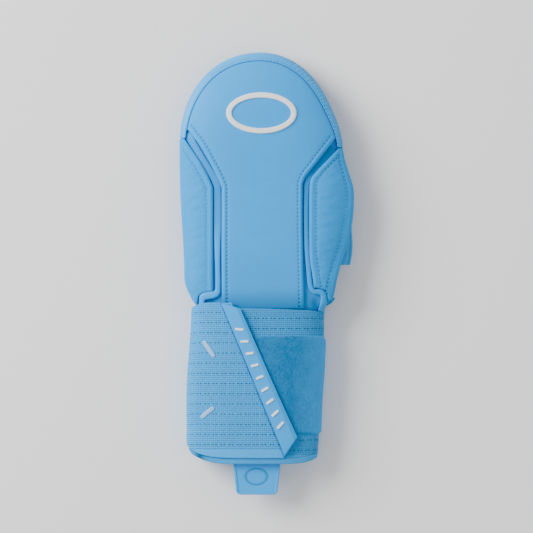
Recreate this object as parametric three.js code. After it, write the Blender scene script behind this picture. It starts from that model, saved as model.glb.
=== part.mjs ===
// A padded mitt for the left hand, which a base runner wears to slide head first.
// It lies palm down, in millimetres: +X to the thumb side, +Y to the fingertips, +Z up from the ground.

import * as THREE from "three";
import { ParametricGeometry } from "three/addons/geometries/ParametricGeometry.js";
import { mergeGeometries, mergeVertices } from "three/addons/utils/BufferGeometryUtils.js";

const { lerp, smoothstep, degToRad } = THREE.MathUtils;

// Air between two pieces that lie on each other, and under the pads and trims on the back plate
const GAP = 0.4;
const PAD_GAP = 0.55;

// The rounded fingertip end: the middle of its arc, and how far the arc reaches to each side
const TIP = { x: -4.55, y: 100, reach: 76.9, littleSide: 65.35, thumbSide: 61.35, thumbShoulder: 4 };

// The line where the hand ends and the wrist cuff starts
const WRIST_Y = -32.6;

// The hand's outline seen from above, a row for each place along it from the wrist to the arc
const HAND_OUTLINE = [
  { y: -32.6, left: -55.5, right: 41 },
  { y: -29, left: -56, right: 43.8 },
  { y: -25, left: -57.5, right: 50.5 },
  { y: -18, left: -61.5, right: 53.6 },
  { y: -8, left: -65.4, right: 55.6 },
  { y: 8, left: -66.2, right: 59.8 },
  { y: 25, left: -67, right: 65.4 },
  { y: 40, left: -68, right: 68.4 },
  { y: 54, left: -68.8, right: 69.8 },
  { y: 68, left: -69.4, right: 69.4 },
  { y: 78, left: -69.6, right: 66.6 },
  { y: 90, left: -69.8, right: 62.8 },
  { y: 100, left: -69.9, right: 60.8 },
];

// The wrist cuff's outer face, a row for each place along it from the mouth to the hand
const WRIST_OUTLINE = [
  { y: -152, left: -51, right: 36.5, top: 30 },
  { y: -146, left: -57, right: 38.6, top: 30.6 },
  { y: -138, left: -61.6, right: 39.4, top: 31.2 },
  { y: -124, left: -62.2, right: 40.2, top: 31.8 },
  { y: -100, left: -62.4, right: 41.2, top: 32.4 },
  { y: -81, left: -61.8, right: 42.6, top: 33 },
  { y: -62, left: -60.4, right: 43.6, top: 33.6 },
  { y: -50, left: -59.4, right: 44, top: 34 },
  { y: -33, left: -58.6, right: 44.2, top: 34 },
  { y: -20, left: -58.6, right: 46, top: 34 },
];

// The wrist is a flattened tube, rounder on top than underneath
const WRIST = { middle: 16, bottom: 1.9, roundTop: 2.6, roundBottom: 5, wall: 3 };

// The two padded plates and the knit wall between them
const PALM = { thick: 5, flat: 0.78, curl: 6, inset: 2.8, heelLift: 2.9 };
const BACK = { thick: 4, rim: 22, rise: 12, inset: 2.4, droop: 7, droopFrom: 90 };
const HEEL = { underStrap: 3.8, insideStrap: 0.93, liftFrom: -9, liftTo: -21, blendFrom: 24, blendTo: -24 };
const GUSSET = { thick: 2, inset: 3.6, bulge: 1.4, gap: 0.7 };
const THUMB_GUSSET = { from: 42, bulgeThere: 3, bulgeAtHole: 10.4 };
const THUMB_HOLE = { top: 6.6, bottom: -19.5, arch: 3, flatten: 0.8, spread: 20 };
const HEEL_BULGE = 5;
const BINDING = { radius: 1.2, inset: 1.3 };

// Pads, bands and trims on the back of the hand
const GUARD = {
  thick: 4.2,
  foot: 0.9,
  lip: 1.4,
  overhang: 0.2,
  endWidth: 4.2,
  growth: 2.8,
  from: 172,
  to: 1,
};
const CENTRE_PAD = { thick: 4, heelThick: 2.2, round: 3.5 };
const SIDE_PAD = { thick: 3.4, round: 3 };
const PAD_FOOT = 1;
const TRIM = { thick: 2.6, foot: 0.8 };

// The cuff's mouth, the elastic strap and what is fixed to it
const MOUTH = { y: -151.6, cornerCut: 5 };
const HEM = { tall: 3.6, past: 0.4 };
const STRAP = {
  thick: 1.5,
  start: 135,
  topY: -27.8,
  outerTopY: -23.4,
  aboveHem: 1,
  foldCut: 2.4,
  endShare: 0.62,
};
const PATCH = { thick: 1.5, topY: -49.5, slope: 5.5, bottomY: -127.8, fromStrapEnd: 1.4 };
const STRIP = {
  thick: 2.2,
  foot: 1.1,
  topLeft: { x: -35.8, y: -23.2 },
  topRight: { x: -21, y: -27.8 },
  bottomRight: { x: 23.4, y: -130.6 },
  tip: { x: 13.8, y: -145.4 },
};
const BAR = { thick: 0.7, halfWidth: 1.6, stripHalfWidth: 1 };
const TAB = {
  x: -8,
  rootY: -141,
  mouthY: -151,
  endY: -176.9,
  top: 26.1,
  slope: 4,
  thick: 2.4,
  rootHalf: 19.2,
  endHalf: 16.4,
  corner: 3.4,
  bevel: 0.5,
};
const RING = { x: -4.2, y: 127.4, halfWidth: 28, halfHeight: 16.5, band: 4.4, thick: 0.9 };

// Colour, roughness and metalness of each finish
const LOOKS = {
  shell: { color: 0x4ba9de, roughness: 0.75, metalness: 0 },
  pad: { color: 0x56b0e5, roughness: 0.6, metalness: 0 },
  sidePad: { color: 0x55b0e2, roughness: 0.8, metalness: 0 },
  trim: { color: 0x8fd0f5, roughness: 0.2, metalness: 0 },
  knit: { color: 0x3696c8, roughness: 0.95, metalness: 0 },
  elastic: { color: 0x5eb6eb, roughness: 0.9, metalness: 0 },
  loop: { color: 0x2a8cc0, roughness: 1, metalness: 0 },
  moulded: { color: 0x6fbff0, roughness: 0.35, metalness: 0 },
  white: { color: 0xf3f4f6, roughness: 0.4, metalness: 0 },
  pale: { color: 0xa9e3f9, roughness: 0.4, metalness: 0 },
};

const mitt = new THREE.Group();

// Smooth values between the rows of a table, for every column at once
function smoothTable(rows) {
  const columns = Object.keys(rows[0]).filter((name) => name !== "y");
  const places = rows.map((row) => row.y);
  const values = rows.flatMap((row) => columns.map((name) => row[name]));
  const curve = new THREE.CubicInterpolant(places, values, columns.length);
  return (y) => {
    const found = [...curve.evaluate(y)];
    return Object.fromEntries(columns.map((name, i) => [name, found[i]]));
  };
}

const handAt = smoothTable(HAND_OUTLINE);
const wristAt = smoothTable(WRIST_OUTLINE);

// How far out a point of the plan lies: 0 on the hand's middle line, 1 on its outline
function spread(x, y) {
  if (y <= TIP.y) {
    const { left, right } = handAt(y);
    return Math.abs(x - (left + right) / 2) / ((right - left) / 2);
  }
  const across = Math.abs(x - TIP.x);
  const along = y - TIP.y;
  const onLittleSide = x < TIP.x;
  const power = onLittleSide ? 2.15 : 2;
  const shoulder = TIP.thumbShoulder * (across / Math.hypot(across, along)) ** 12;
  const half = onLittleSide ? TIP.littleSide : TIP.thumbSide + shoulder;
  return ((across / half) ** power + (along / TIP.reach) ** power) ** (1 / power);
}

// A ray from the middle line to the outline. The turn is in degrees round the fingertip arc, 180 at the
// little finger's side and 0 at the thumb's. Past those the ray runs straight across the hand, and the
// turn goes on by SIDE_TURN degrees as the ray comes down to the wrist.
const SIDE_TURN = 100;

function ray(turn) {
  const past = Math.max(turn - 180, -turn, 0) / SIDE_TURN;
  if (past > 0) {
    const y = lerp(TIP.y, WRIST_Y, past);
    const { left, right } = handAt(y);
    const edge = new THREE.Vector2(turn > 90 ? left : right, y);
    return { spine: new THREE.Vector2((left + right) / 2, y), edge };
  }
  const spine = new THREE.Vector2(TIP.x, TIP.y);
  const way = new THREE.Vector2(Math.cos(degToRad(turn)), Math.sin(degToRad(turn)));
  const reach = 1 / spread(TIP.x + way.x, TIP.y + way.y);
  return { spine, edge: spine.clone().addScaledVector(way, reach) };
}

const turnAtLeft = (y) => 180 + (SIDE_TURN * (TIP.y - y)) / (TIP.y - WRIST_Y);
const turnAtRight = (y) => 180 - turnAtLeft(y);

// The point on a ray that lies inset from the outline, in the plan
function inFrom(turn, inset) {
  const { spine, edge } = ray(turn);
  return edge.clone().lerp(spine, inset / edge.distanceTo(spine));
}

// How much a point of the plan belongs to the rim over the thumb hole, from 0 to 1
function byThumbHole(x, y) {
  const middle = (THUMB_HOLE.top + THUMB_HOLE.bottom) / 2;
  return smoothstep(x, 10, 50) * Math.exp(-(((y - middle) / THUMB_HOLE.spread) ** 2));
}

// Height of the back plate's outer face, which is the floor of the channels between the pads
function crown(x, y) {
  const out = Math.min(spread(x, y), 1.05);
  const toTip = Math.max(0, y - BACK.droopFrom) / (TIP.y + TIP.reach - BACK.droopFrom);
  const overHand = BACK.rim - BACK.droop * toTip ** 2 + BACK.rise * (1 - out ** 4);
  const atWrist = 1 - smoothstep(y, HEEL.blendTo, HEEL.blendFrom);
  const arch = (1 - (HEEL.insideStrap * out) ** WRIST.roundTop) ** (1 / WRIST.roundTop);
  const overWrist = WRIST.middle + (wristAt(y).top - HEEL.underStrap - WRIST.middle) * arch;
  return lerp(overHand, overWrist, atWrist) + THUMB_HOLE.arch * byThumbHole(x, y);
}

// Height of the palm plate's lower face: flat, with a rim that curls up, less so under the thumb hole, and
// a heel that clears the strap
function sole(x, y) {
  const curl = PALM.curl * (Math.max(0, spread(x, y) - PALM.flat) / (1 - PALM.flat)) ** 2;
  const heel = PALM.heelLift * (1 - smoothstep(y, HEEL.liftTo, HEEL.liftFrom));
  return curl * (1 - THUMB_HOLE.flatten * byThumbHole(x, y)) + heel;
}

// A point on the wrist's outer face, turned in degrees from the thumb's side over the top, and lifted off it
function wristPoint(turn, y, lift) {
  const { left, right, top } = wristAt(y);
  const cos = Math.cos(degToRad(turn));
  const sin = Math.sin(degToRad(turn));
  const power = sin >= 0 ? WRIST.roundTop : WRIST.roundBottom;
  const half = (right - left) / 2;
  const tall = sin >= 0 ? top - WRIST.middle : WRIST.middle - WRIST.bottom;
  const out = Math.abs(cos) ** (2 / power);
  const up = Math.abs(sin) ** (2 / power);
  const normal = new THREE.Vector2(out ** (power - 1) / half, up ** (power - 1) / tall).setLength(lift);
  return new THREE.Vector3(
    (left + right) / 2 + Math.sign(cos) * (half * out + normal.x),
    y,
    WRIST.middle + Math.sign(sin) * (tall * up + normal.y),
  );
}

// The turn at which the wrist's upper face lies over a point of the plan
function turnOver(x, y) {
  const { left, right } = wristAt(y);
  const out = (x - (left + right) / 2) / ((right - left) / 2);
  return THREE.MathUtils.radToDeg(Math.acos(Math.sign(out) * Math.abs(out) ** (WRIST.roundTop / 2)));
}

const wristTop = (x, y, lift) => wristPoint(turnOver(x, y), y, lift);

const evenStops = (steps, from = 0, to = 1) =>
  Array.from({ length: steps + 1 }, (_, i) => lerp(from, to, i / steps));

// A face over two parameters. Each of them is a list of stops or a number of even steps.
function face(point, across, along) {
  const us = Array.isArray(across) ? across : evenStops(across);
  const vs = Array.isArray(along) ? along : evenStops(along);
  const place = (u, v, target) => {
    target.copy(point(us[Math.round(u * (us.length - 1))], vs[Math.round(v * (vs.length - 1))]));
  };
  return new ParametricGeometry(place, us.length - 1, vs.length - 1);
}

// A closed body between an outer and an inner face. Sides that meet, as round a tube, need no wall.
function between(outer, inner, across, along, { closedAcross = false, sewnStart = false } = {}) {
  const us = Array.isArray(across) ? across : evenStops(across);
  const vs = Array.isArray(along) ? along : evenStops(along);
  const [u0, u1, v0, v1] = [us[0], us.at(-1), vs[0], vs.at(-1)];
  const faces = [face(outer, us, vs), face(inner, [...us].reverse(), vs)];
  if (!closedAcross) {
    faces.push(face((w, v) => inner(u0, v).lerp(outer(u0, v), w), 1, vs));
    faces.push(face((w, v) => outer(u1, v).lerp(inner(u1, v), w), 1, vs));
  }
  if (!sewnStart) faces.push(face((u, w) => inner(u, v0).lerp(outer(u, v0), w), us, 1));
  faces.push(face((u, w) => outer(u, v1).lerp(inner(u, v1), w), us, 1));
  return weld(faces);
}

// One closed geometry from faces that share their edges, with its outside outwards
function weld(faces) {
  for (const one of faces) {
    one.deleteAttribute("normal");
    one.deleteAttribute("uv");
  }
  const geometry = mergeVertices(mergeGeometries(faces), 1e-3);
  const corners = [];
  const index = geometry.index.array;
  for (let i = 0; i < index.length; i += 3) {
    const [a, b, c] = index.slice(i, i + 3);
    if (a !== b && b !== c && c !== a) corners.push(a, b, c);
  }
  geometry.setIndex(volume(geometry.attributes.position, corners) < 0 ? corners.reverse() : corners);
  geometry.computeVertexNormals();
  return geometry;
}

// Six times the volume inside a triangle mesh
function volume(position, corners) {
  const [a, b, c] = [new THREE.Vector3(), new THREE.Vector3(), new THREE.Vector3()];
  let sum = 0;
  for (let i = 0; i < corners.length; i += 3) {
    [a, b, c].forEach((corner, k) => corner.fromBufferAttribute(position, corners[i + k]));
    sum += a.dot(b.cross(c));
  }
  return sum;
}

function add(name, look, geometry) {
  const mesh = new THREE.Mesh(geometry, new THREE.MeshStandardMaterial(LOOKS[look]));
  mesh.name = name;
  mitt.add(mesh);
}

const lifted = (plan, z) => new THREE.Vector3(plan.x, plan.y, z);

// Stops from the wrist's little finger side, round the fingertips, to the wrist's thumb side
const LITTLE_WRIST = 180 + SIDE_TURN;
const THUMB_WRIST = -SIDE_TURN;
const ALL_ROUND = [
  ...evenStops(12, LITTLE_WRIST, 180),
  ...evenStops(18, 180, 0).slice(1),
  ...evenStops(12, 0, THUMB_WRIST).slice(1),
];
const plate = { sewnStart: true };

// Palm plate: a padded tray with a flat middle and a rim that curls up
function palmPlate(lift) {
  return (turn, v) => {
    const { spine } = ray(turn);
    const plan = spine.clone().lerp(inFrom(turn, PALM.inset), v);
    return lifted(plan, sole(plan.x, plan.y) + lift);
  };
}
const PALM_RINGS = [0, 0.4, 0.74, 0.8, 0.86, 0.92, 0.96, 1];
add("palm_shell", "shell", between(palmPlate(PALM.thick), palmPlate(0), ALL_ROUND, PALM_RINGS, plate));

// Back plate: an arched padded plate, the floor of the channels
function backPlate(lift) {
  return (turn, v) => {
    const { spine } = ray(turn);
    const plan = spine.clone().lerp(inFrom(turn, BACK.inset), v);
    return lifted(plan, crown(plan.x, plan.y) + lift);
  };
}
const BACK_RINGS = [0, 0.3, 0.55, 0.7, 0.8, 0.88, 0.95, 1];
add("back_shell", "shell", between(backPlate(0), backPlate(-BACK.thick), ALL_ROUND, BACK_RINGS, plate));

// Knit wall between the plates, bulging out at half its height
function knitWall(inset, bulge) {
  return (turn, v) => {
    const foot = inFrom(turn, inset);
    const plan = inFrom(turn, inset - bulge(foot.y) * Math.sin(Math.PI * v));
    const low = sole(foot.x, foot.y) + PALM.thick + GUSSET.gap;
    const high = crown(foot.x, foot.y) - BACK.thick - GUSSET.gap;
    return lifted(plan, lerp(low, high, v));
  };
}
function addWall(name, turns, bulge) {
  const outer = knitWall(GUSSET.inset, bulge);
  const inner = knitWall(GUSSET.inset + GUSSET.thick, bulge);
  add(name, "knit", between(outer, inner, turns, 4));
}
const thumbBulge = (y) => {
  const toHole = 1 - smoothstep(y, THUMB_HOLE.top, THUMB_GUSSET.from);
  return lerp(THUMB_GUSSET.bulgeThere, THUMB_GUSSET.bulgeAtHole, toHole);
};
const heelBulge = (y) => HEEL_BULGE * smoothstep(y, WRIST_Y, THUMB_HOLE.bottom);
const holeTop = turnAtRight(THUMB_HOLE.top);
const holeBottom = turnAtRight(THUMB_HOLE.bottom);
const thumbGussetTop = turnAtRight(THUMB_GUSSET.from);
const sideWallEnd = turnAtRight(THUMB_GUSSET.from + GAP);
const SIDE_WALL = [
  ...evenStops(10, LITTLE_WRIST, 180),
  ...evenStops(16, 180, 0).slice(1),
  ...evenStops(5, 0, sideWallEnd).slice(1),
];
addWall("side_gusset", SIDE_WALL, () => GUSSET.bulge);
addWall("thumb_gusset", evenStops(6, thumbGussetTop, holeTop), thumbBulge);
addWall("wrist_gusset", evenStops(4, holeBottom, THUMB_WRIST), heelBulge);

// Binding: a bead of tape round the palm plate's rim
function bead(sign) {
  return (turn, v) => {
    const plan = inFrom(turn, BINDING.inset - BINDING.radius * Math.cos(Math.PI * v));
    const rim = inFrom(turn, PALM.inset);
    const middle = sole(rim.x, rim.y) + PALM.thick / 2;
    return lifted(plan, middle + sign * BINDING.radius * Math.sin(Math.PI * v));
  };
}
add("palm_binding", "knit", between(bead(1), bead(-1), ALL_ROUND, 3));

// Fingertip guard: a raised band over the back plate's rim
const guardWidth = (turn) => GUARD.endWidth + GUARD.growth * Math.abs(Math.sin(degToRad(turn))) ** 0.7;
function guardTop(turn, v) {
  const plan = inFrom(turn, guardWidth(turn) * (1 - v));
  const hump = (4 * v * (1 - v)) ** 0.4;
  return lifted(plan, crown(plan.x, plan.y) + GAP + GUARD.foot + (GUARD.thick - GUARD.foot) * hump);
}
function guardUnder(turn, v) {
  const plan = inFrom(turn, lerp(guardWidth(turn), GUARD.overhang, v));
  const lip = v === 1 ? GUARD.lip : 0;
  return lifted(plan, crown(plan.x, plan.y) + GAP - lip);
}
const GUARD_TURNS = evenStops(26, GUARD.from, GUARD.to);
const GUARD_STOPS = [0, 0.06, 0.2, 0.45, 0.7, 0.9, 1];
add("fingertip_guard", "pad", between(guardTop, guardUnder, GUARD_TURNS, GUARD_STOPS));

// A pad whose plan is stretched between four edges, with a rounded rim
function pad(edges, thick, round) {
  const plan = (u, v) => {
    const [left, right, low, high] = [edges.left(v), edges.right(v), edges.bottom(u), edges.top(u)];
    const corners = [edges.bottom(0), edges.bottom(1), edges.top(0), edges.top(1)];
    const weights = [(1 - u) * (1 - v), u * (1 - v), (1 - u) * v, u * v];
    const point = left.clone().lerp(right, u).add(low.clone().lerp(high, v));
    corners.forEach((corner, i) => point.addScaledVector(corner, -weights[i]));
    return point;
  };
  const rounded = (distance) => Math.sqrt(1 - (1 - Math.min(distance / round, 1)) ** 2);
  const rim = (u, v) => {
    const across = Math.min(u, 1 - u) * edges.left(v).distanceTo(edges.right(v));
    const along = Math.min(v, 1 - v) * edges.bottom(u).distanceTo(edges.top(u));
    return rounded(across) * rounded(along);
  };
  const top = (u, v) => {
    const { x, y } = plan(u, v);
    return new THREE.Vector3(x, y, crown(x, y) + PAD_GAP + lerp(PAD_FOOT, thick(y), rim(u, v)));
  };
  const under = (u, v) => {
    const { x, y } = plan(u, v);
    return new THREE.Vector3(x, y, crown(x, y) + PAD_GAP);
  };
  return { top, under };
}

const curveThrough = (points) => {
  const curve = new THREE.SplineCurve(points.map(([x, y]) => new THREE.Vector2(x, y)));
  return (t) => curve.getPointAt(t);
};
const line = (a, b) => (t) => new THREE.Vector2(...a).lerp(new THREE.Vector2(...b), t);

// The side edges of the centre panel and the inner edges of the side panels, from the wrist to the fingertips
const CENTRE_LEFT = [[-35.8, -28], [-36, 20], [-36, 60], [-37, 71], [-46.6, 90], [-53.6, 102], [-61.8, 116]];
const CENTRE_RIGHT = [[29.8, -28], [28.8, 20], [28.6, 62], [30, 74.5], [39.4, 87.5], [48, 98.5], [54, 107.6]];
const LITTLE_INNER = [
  [-42.8, -14.6], [-42.8, 20], [-42.8, 62], [-43.8, 71], [-51, 85.5], [-58.6, 97], [-65.4, 106.6],
];
const THUMB_INNER = [
  [37.6, -11.4], [36, 0], [34, 16], [33.8, 60], [34.8, 74], [40, 81.5], [50, 92], [56.4, 98.8],
];

const EDGE_STOPS = [
  0, 0.015, 0.045, 0.1, 0.17, 0.25, 0.34, 0.44, 0.56, 0.66, 0.75, 0.83, 0.9, 0.955, 0.985, 1,
];
const LONG_STOPS = [
  0, 0.008, 0.02, 0.1, 0.2, 0.3, 0.4, 0.5, 0.58, 0.66, 0.74, 0.82, 0.9, 0.96, 0.98, 0.992, 1,
];

// Centre panel: the large smooth tongue between the channels
function tipArc(from, to) {
  return (u) => {
    const turn = lerp(from, to, u);
    return inFrom(turn, guardWidth(turn) + GAP);
  };
}
const centreTop = tipArc(165.8, 7.4);
const centreEdges = {
  left: curveThrough([...CENTRE_LEFT.slice(0, -1), centreTop(0).toArray()]),
  right: curveThrough([...CENTRE_RIGHT.slice(0, -1), centreTop(1).toArray()]),
  bottom: line(CENTRE_LEFT[0], CENTRE_RIGHT[0]),
  top: centreTop,
};
const centreThick = (y) => lerp(CENTRE_PAD.heelThick, CENTRE_PAD.thick, smoothstep(y, -30, 10));
const centrePad = pad(centreEdges, centreThick, CENTRE_PAD.round);
add("centre_panel", "pad", between(centrePad.top, centrePad.under, EDGE_STOPS, LONG_STOPS));

// Side panels: from the hand's outline to the channels
function outlineEdge(side, from, to, inset) {
  return (v) => {
    const y = lerp(from, to, v);
    const turn = side === "left" ? turnAtLeft(y) : turnAtRight(y);
    return inFrom(turn, inset);
  };
}
const SIDE_STOPS = [0, 0.06, 0.16, 0.35, 0.65, 0.84, 0.94, 1];
const sideThick = () => SIDE_PAD.thick;
const littleEdges = {
  left: outlineEdge("left", -16.5, 104.5, 0.2),
  right: curveThrough(LITTLE_INNER),
};
littleEdges.bottom = line(littleEdges.left(0).toArray(), LITTLE_INNER[0]);
littleEdges.top = line(littleEdges.left(1).toArray(), LITTLE_INNER.at(-1));
const littlePad = pad(littleEdges, sideThick, SIDE_PAD.round);
add("side_panel_left", "sidePad", between(littlePad.top, littlePad.under, SIDE_STOPS, LONG_STOPS));

const thumbEdges = {
  left: curveThrough(THUMB_INNER),
  right: outlineEdge("right", -15, 97.6, 0.2),
};
thumbEdges.bottom = line(THUMB_INNER[0], thumbEdges.right(0).toArray());
thumbEdges.top = line(THUMB_INNER.at(-1), thumbEdges.right(1).toArray());
const thumbPad = pad(thumbEdges, sideThick, SIDE_PAD.round);
add("side_panel_right", "sidePad", between(thumbPad.top, thumbPad.under, SIDE_STOPS, LONG_STOPS));

// Channel trims: glossy bands that thin out up the channels and end in a hook at the wrist
function addTrim(name, route, halfWidth) {
  const curve = new THREE.SplineCurve(route.map(([x, y]) => new THREE.Vector2(x, y)));
  const place = (u, v) => {
    const along = curve.getTangentAt(u);
    return curve.getPointAt(u).add(new THREE.Vector2(along.y, -along.x).multiplyScalar(v * halfWidth(u)));
  };
  const top = (u, v) => {
    const { x, y } = place(u, v);
    const arch = lerp(TRIM.foot, TRIM.thick, Math.sqrt(1 - v ** 4));
    const thinning = lerp(0.5, 1, smoothstep(u, 0, 0.5));
    return new THREE.Vector3(x, y, crown(x, y) + PAD_GAP + arch * thinning);
  };
  const under = (u, v) => {
    const { x, y } = place(u, v);
    return new THREE.Vector3(x, y, crown(x, y) + PAD_GAP);
  };
  add(name, "trim", between(top, under, 32, [-1, -0.7, 0.7, 1]));
}
const LITTLE_TRIM = [
  [-63.4, 111.6], [-55.6, 99.4], [-47.4, 85.6], [-40.6, 72.4], [-39.4, 62], [-39.3, 20],
  [-39, -10], [-40.4, -16], [-46, -17.6], [-50.4, -18.6], [-51.6, -21.6], [-51.8, -25.4],
];
const THUMB_TRIM = [
  [53.6, 101.2], [44.5, 90.7], [36.6, 80.2], [31.9, 73.2], [31.2, 62], [31.4, 22],
  [33.2, 2], [34.8, -9.6], [37.6, -14.4], [43.4, -14.9], [45.8, -17.4], [45.6, -24], [44, -28.5],
];
addTrim("channel_trim_left", LITTLE_TRIM, (u) => lerp(1.1, 2, smoothstep(u, 0.3, 0.75)));
addTrim("channel_trim_right", THUMB_TRIM, (u) => lerp(1, 1.9, smoothstep(u, 0.4, 0.8)));

// Turns round the wrist, close together where it bends most
const UNDER_TURNS = [-4, -12, -28, -52, -74, -90, -106, -128, -152, -168, -176];
const OVER_STEP = 11.25;
const OVER_TURNS = evenStops(16, 180, 0);

// Wrist cuff: a soft tube open at both ends, with its mouth's corners cut back
const mouthY = (turn) => MOUTH.y + MOUTH.cornerCut * Math.abs(Math.cos(degToRad(turn))) ** 6;
const ROUND_WRIST = [...OVER_TURNS, ...UNDER_TURNS, -180];
function cuffFace(lift) {
  return (turn, v) => wristPoint(turn, lerp(WRIST_Y - GAP, mouthY(turn), v), lift);
}
const closed = { closedAcross: true };
add("wrist_cuff", "knit", between(cuffFace(0), cuffFace(-WRIST.wall), ROUND_WRIST, 8, closed));

// Cuff hem: a band round the mouth
function hemFace(lift) {
  return (turn, v) => wristPoint(turn, lerp(mouthY(turn) + HEM.tall, mouthY(turn) - HEM.past, v), lift);
}
add("cuff_hem", "knit", between(hemFace(GAP + STRAP.thick), hemFace(GAP), ROUND_WRIST, 2, closed));

// Wrist strap: one wide elastic band. It starts on top of the cuff, goes over the thumb's side, under the
// wrist and up the little finger's side, and climbs over its own start to end in a slanted edge.
const LAYER = STRAP.thick + GAP;
function slantX(y, share) {
  const { topLeft, topRight, bottomRight, tip } = STRIP;
  const down = (topLeft.y - y) / (topLeft.y - tip.y);
  const near = lerp(topLeft.x, tip.x, down);
  const far = lerp(topRight.x, bottomRight.x, (topRight.y - y) / (topRight.y - bottomRight.y));
  return lerp(near, far, share);
}
const strapEndX = (y) => slantX(y, STRAP.endShare);

// The strap's way is a list of turns. Past -180 it climbs a layer to lie over its own start, and from
// SLANT_FROM on its stops spread out towards the slanted end.
const SLANT_FROM = -180 - 3 * OVER_STEP;
const STRAP_TURNS = [
  ...evenStops(12, STRAP.start, 0),
  ...UNDER_TURNS,
  -180,
  -180 - OVER_STEP / 2,
  ...evenStops(8, -180 - OVER_STEP, -180 - 9 * OVER_STEP),
];
const strapLift = (turn) => GAP + LAYER * smoothstep(-turn, 183, 216);
function strapEdges(turn) {
  const overThumb = 3 * Math.exp(-((turn / 60) ** 2));
  const top = lerp(STRAP.topY - overThumb, STRAP.outerTopY, smoothstep(-turn, 180, 232));
  const fold = STRAP.foldCut * Math.exp(-(((turn + 180) / 40) ** 2));
  return { top, bottom: mouthY(turn) + HEM.tall + STRAP.aboveHem + fold };
}
function strapFace(lift) {
  const last = STRAP_TURNS.at(-1);
  return (turn, v) => {
    const { top, bottom } = strapEdges(turn);
    const y = lerp(top, bottom, v);
    if (turn > SLANT_FROM) return wristPoint(turn, y, strapLift(turn) + lift);
    const end = turnOver(strapEndX(y), y) - 360;
    const slanted = lerp(SLANT_FROM, end, (turn - SLANT_FROM) / (last - SLANT_FROM));
    return wristPoint(slanted, y, strapLift(slanted) + lift);
  };
}
const STRAP_ROWS = [0, 0.08, 0.25, 0.42, 0.6, 0.78, 0.92, 1];
add("wrist_strap", "elastic", between(strapFace(STRAP.thick), strapFace(0), STRAP_TURNS, STRAP_ROWS));

// Loop patch: a velvety patch on the strap, from under its slanted end round the thumb's side
const onStrap = GAP + LAYER;
const PATCH_SLANT = 5 * OVER_STEP;
const PATCH_TURNS = [
  ...evenStops(3, 90, PATCH_SLANT),
  ...evenStops(5, PATCH_SLANT, 0).slice(1),
  -4,
  -12,
  -28,
  -42,
];
function patchFace(lift) {
  return (turn, v) => {
    const y = lerp(PATCH.topY - PATCH.slope * smoothstep(-turn, -50, 0), PATCH.bottomY, v);
    const start = turnOver(strapEndX(y) + PATCH.fromStrapEnd, y);
    const slanted = lerp(PATCH_SLANT, start, (turn - PATCH_SLANT) / (90 - PATCH_SLANT));
    return wristPoint(turn > PATCH_SLANT ? slanted : turn, y, onStrap + lift);
  };
}
add("loop_patch", "loop", between(patchFace(0), patchFace(PATCH.thick), PATCH_TURNS, STRAP_ROWS));

// End strip: a moulded strip on the strap's slanted edge, bevelled along its thumb side
const stripLift = onStrap + LAYER;
function stripPlan(u, v) {
  const { topLeft, topRight, bottomRight, tip } = STRIP;
  const left = { x: lerp(topLeft.x, tip.x, v), y: lerp(topLeft.y, tip.y, v) };
  const right = { x: lerp(topRight.x, bottomRight.x, v), y: lerp(topRight.y, bottomRight.y, v) };
  return { x: lerp(left.x, right.x, u), y: lerp(left.y, right.y, u) };
}
function stripTop(u, v) {
  const { x, y } = stripPlan(u, v);
  const rim = Math.min(1, u / 0.08, (1 - u) / 0.22, v / 0.02, (1 - v) / 0.02);
  return wristTop(x, y, stripLift + lerp(STRIP.foot, STRIP.thick, rim));
}
function stripUnder(u, v) {
  const { x, y } = stripPlan(u, v);
  return wristTop(x, y, stripLift);
}
const STRIP_ROWS = [0, 0.02, ...evenStops(9, 0.1, 0.9), 0.98, 1];
add("strap_end_strip", "moulded", between(stripTop, stripUnder, [0, 0.08, 0.45, 0.78, 1], STRIP_ROWS));

// Small flat bar that lies on a curved surface, from one point of the plan to another
function bar(from, to, halfWidth, height) {
  const a = new THREE.Vector2(...from);
  const b = new THREE.Vector2(...to);
  const side = b.clone().sub(a).rotateAround(new THREE.Vector2(), Math.PI / 2).setLength(halfWidth);
  const place = (u, v, lift) => {
    const taper = Math.sqrt(Math.max(0, 1 - (2 * Math.abs(u - 0.5)) ** 8));
    const plan = a.clone().lerp(b, u).addScaledVector(side, v * lerp(0.55, 1, taper));
    return height(plan.x, plan.y, lift);
  };
  const stops = [0, 0.1, 0.5, 0.9, 1];
  return between((u, v) => place(u, v, GAP + BAR.thick), (u, v) => place(u, v, GAP), stops, [-1, 1]);
}

// Printed bars: two on the strap, and a row of short ones across the end strip
const onOuterTurn = (x, y, lift) => wristTop(x, y, strapLift(turnOver(x, y) - 360) + STRAP.thick + lift);
add("strap_bar_upper", "pale", bar([-49, -54], [-41, -66.5], BAR.halfWidth, onOuterTurn));
add("strap_bar_lower", "pale", bar([-51, -115], [-41.5, -106.5], BAR.halfWidth, onOuterTurn));
const STRIP_BARS = 9;
const onStrip = (x, y, lift) => wristTop(x, y, stripLift + STRIP.thick + lift);
for (let i = 0; i < STRIP_BARS; i++) {
  const v = lerp(0.17, 0.84, i / (STRIP_BARS - 1));
  const start = stripPlan(0.2, v);
  const end = stripPlan(0.66, v);
  const stripBar = bar([start.x, start.y], [end.x, end.y], BAR.stripHalfWidth, onStrip);
  add(`strip_bar_${i + 1}`, "white", stripBar);
}

// Oval ring: a plain raised ring on the centre panel
function ringFace(lift) {
  return (turn, v) => {
    const x = RING.x + (RING.halfWidth - RING.band * v) * Math.cos(degToRad(turn));
    const y = RING.y + (RING.halfHeight - RING.band * v) * Math.sin(degToRad(turn));
    return new THREE.Vector3(x, y, crown(x, y) + PAD_GAP + CENTRE_PAD.thick + GAP + lift);
  };
}
add("oval_ring", "white", between(ringFace(RING.thick), ringFace(0), evenStops(32, 360, 0), 1, closed));

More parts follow.
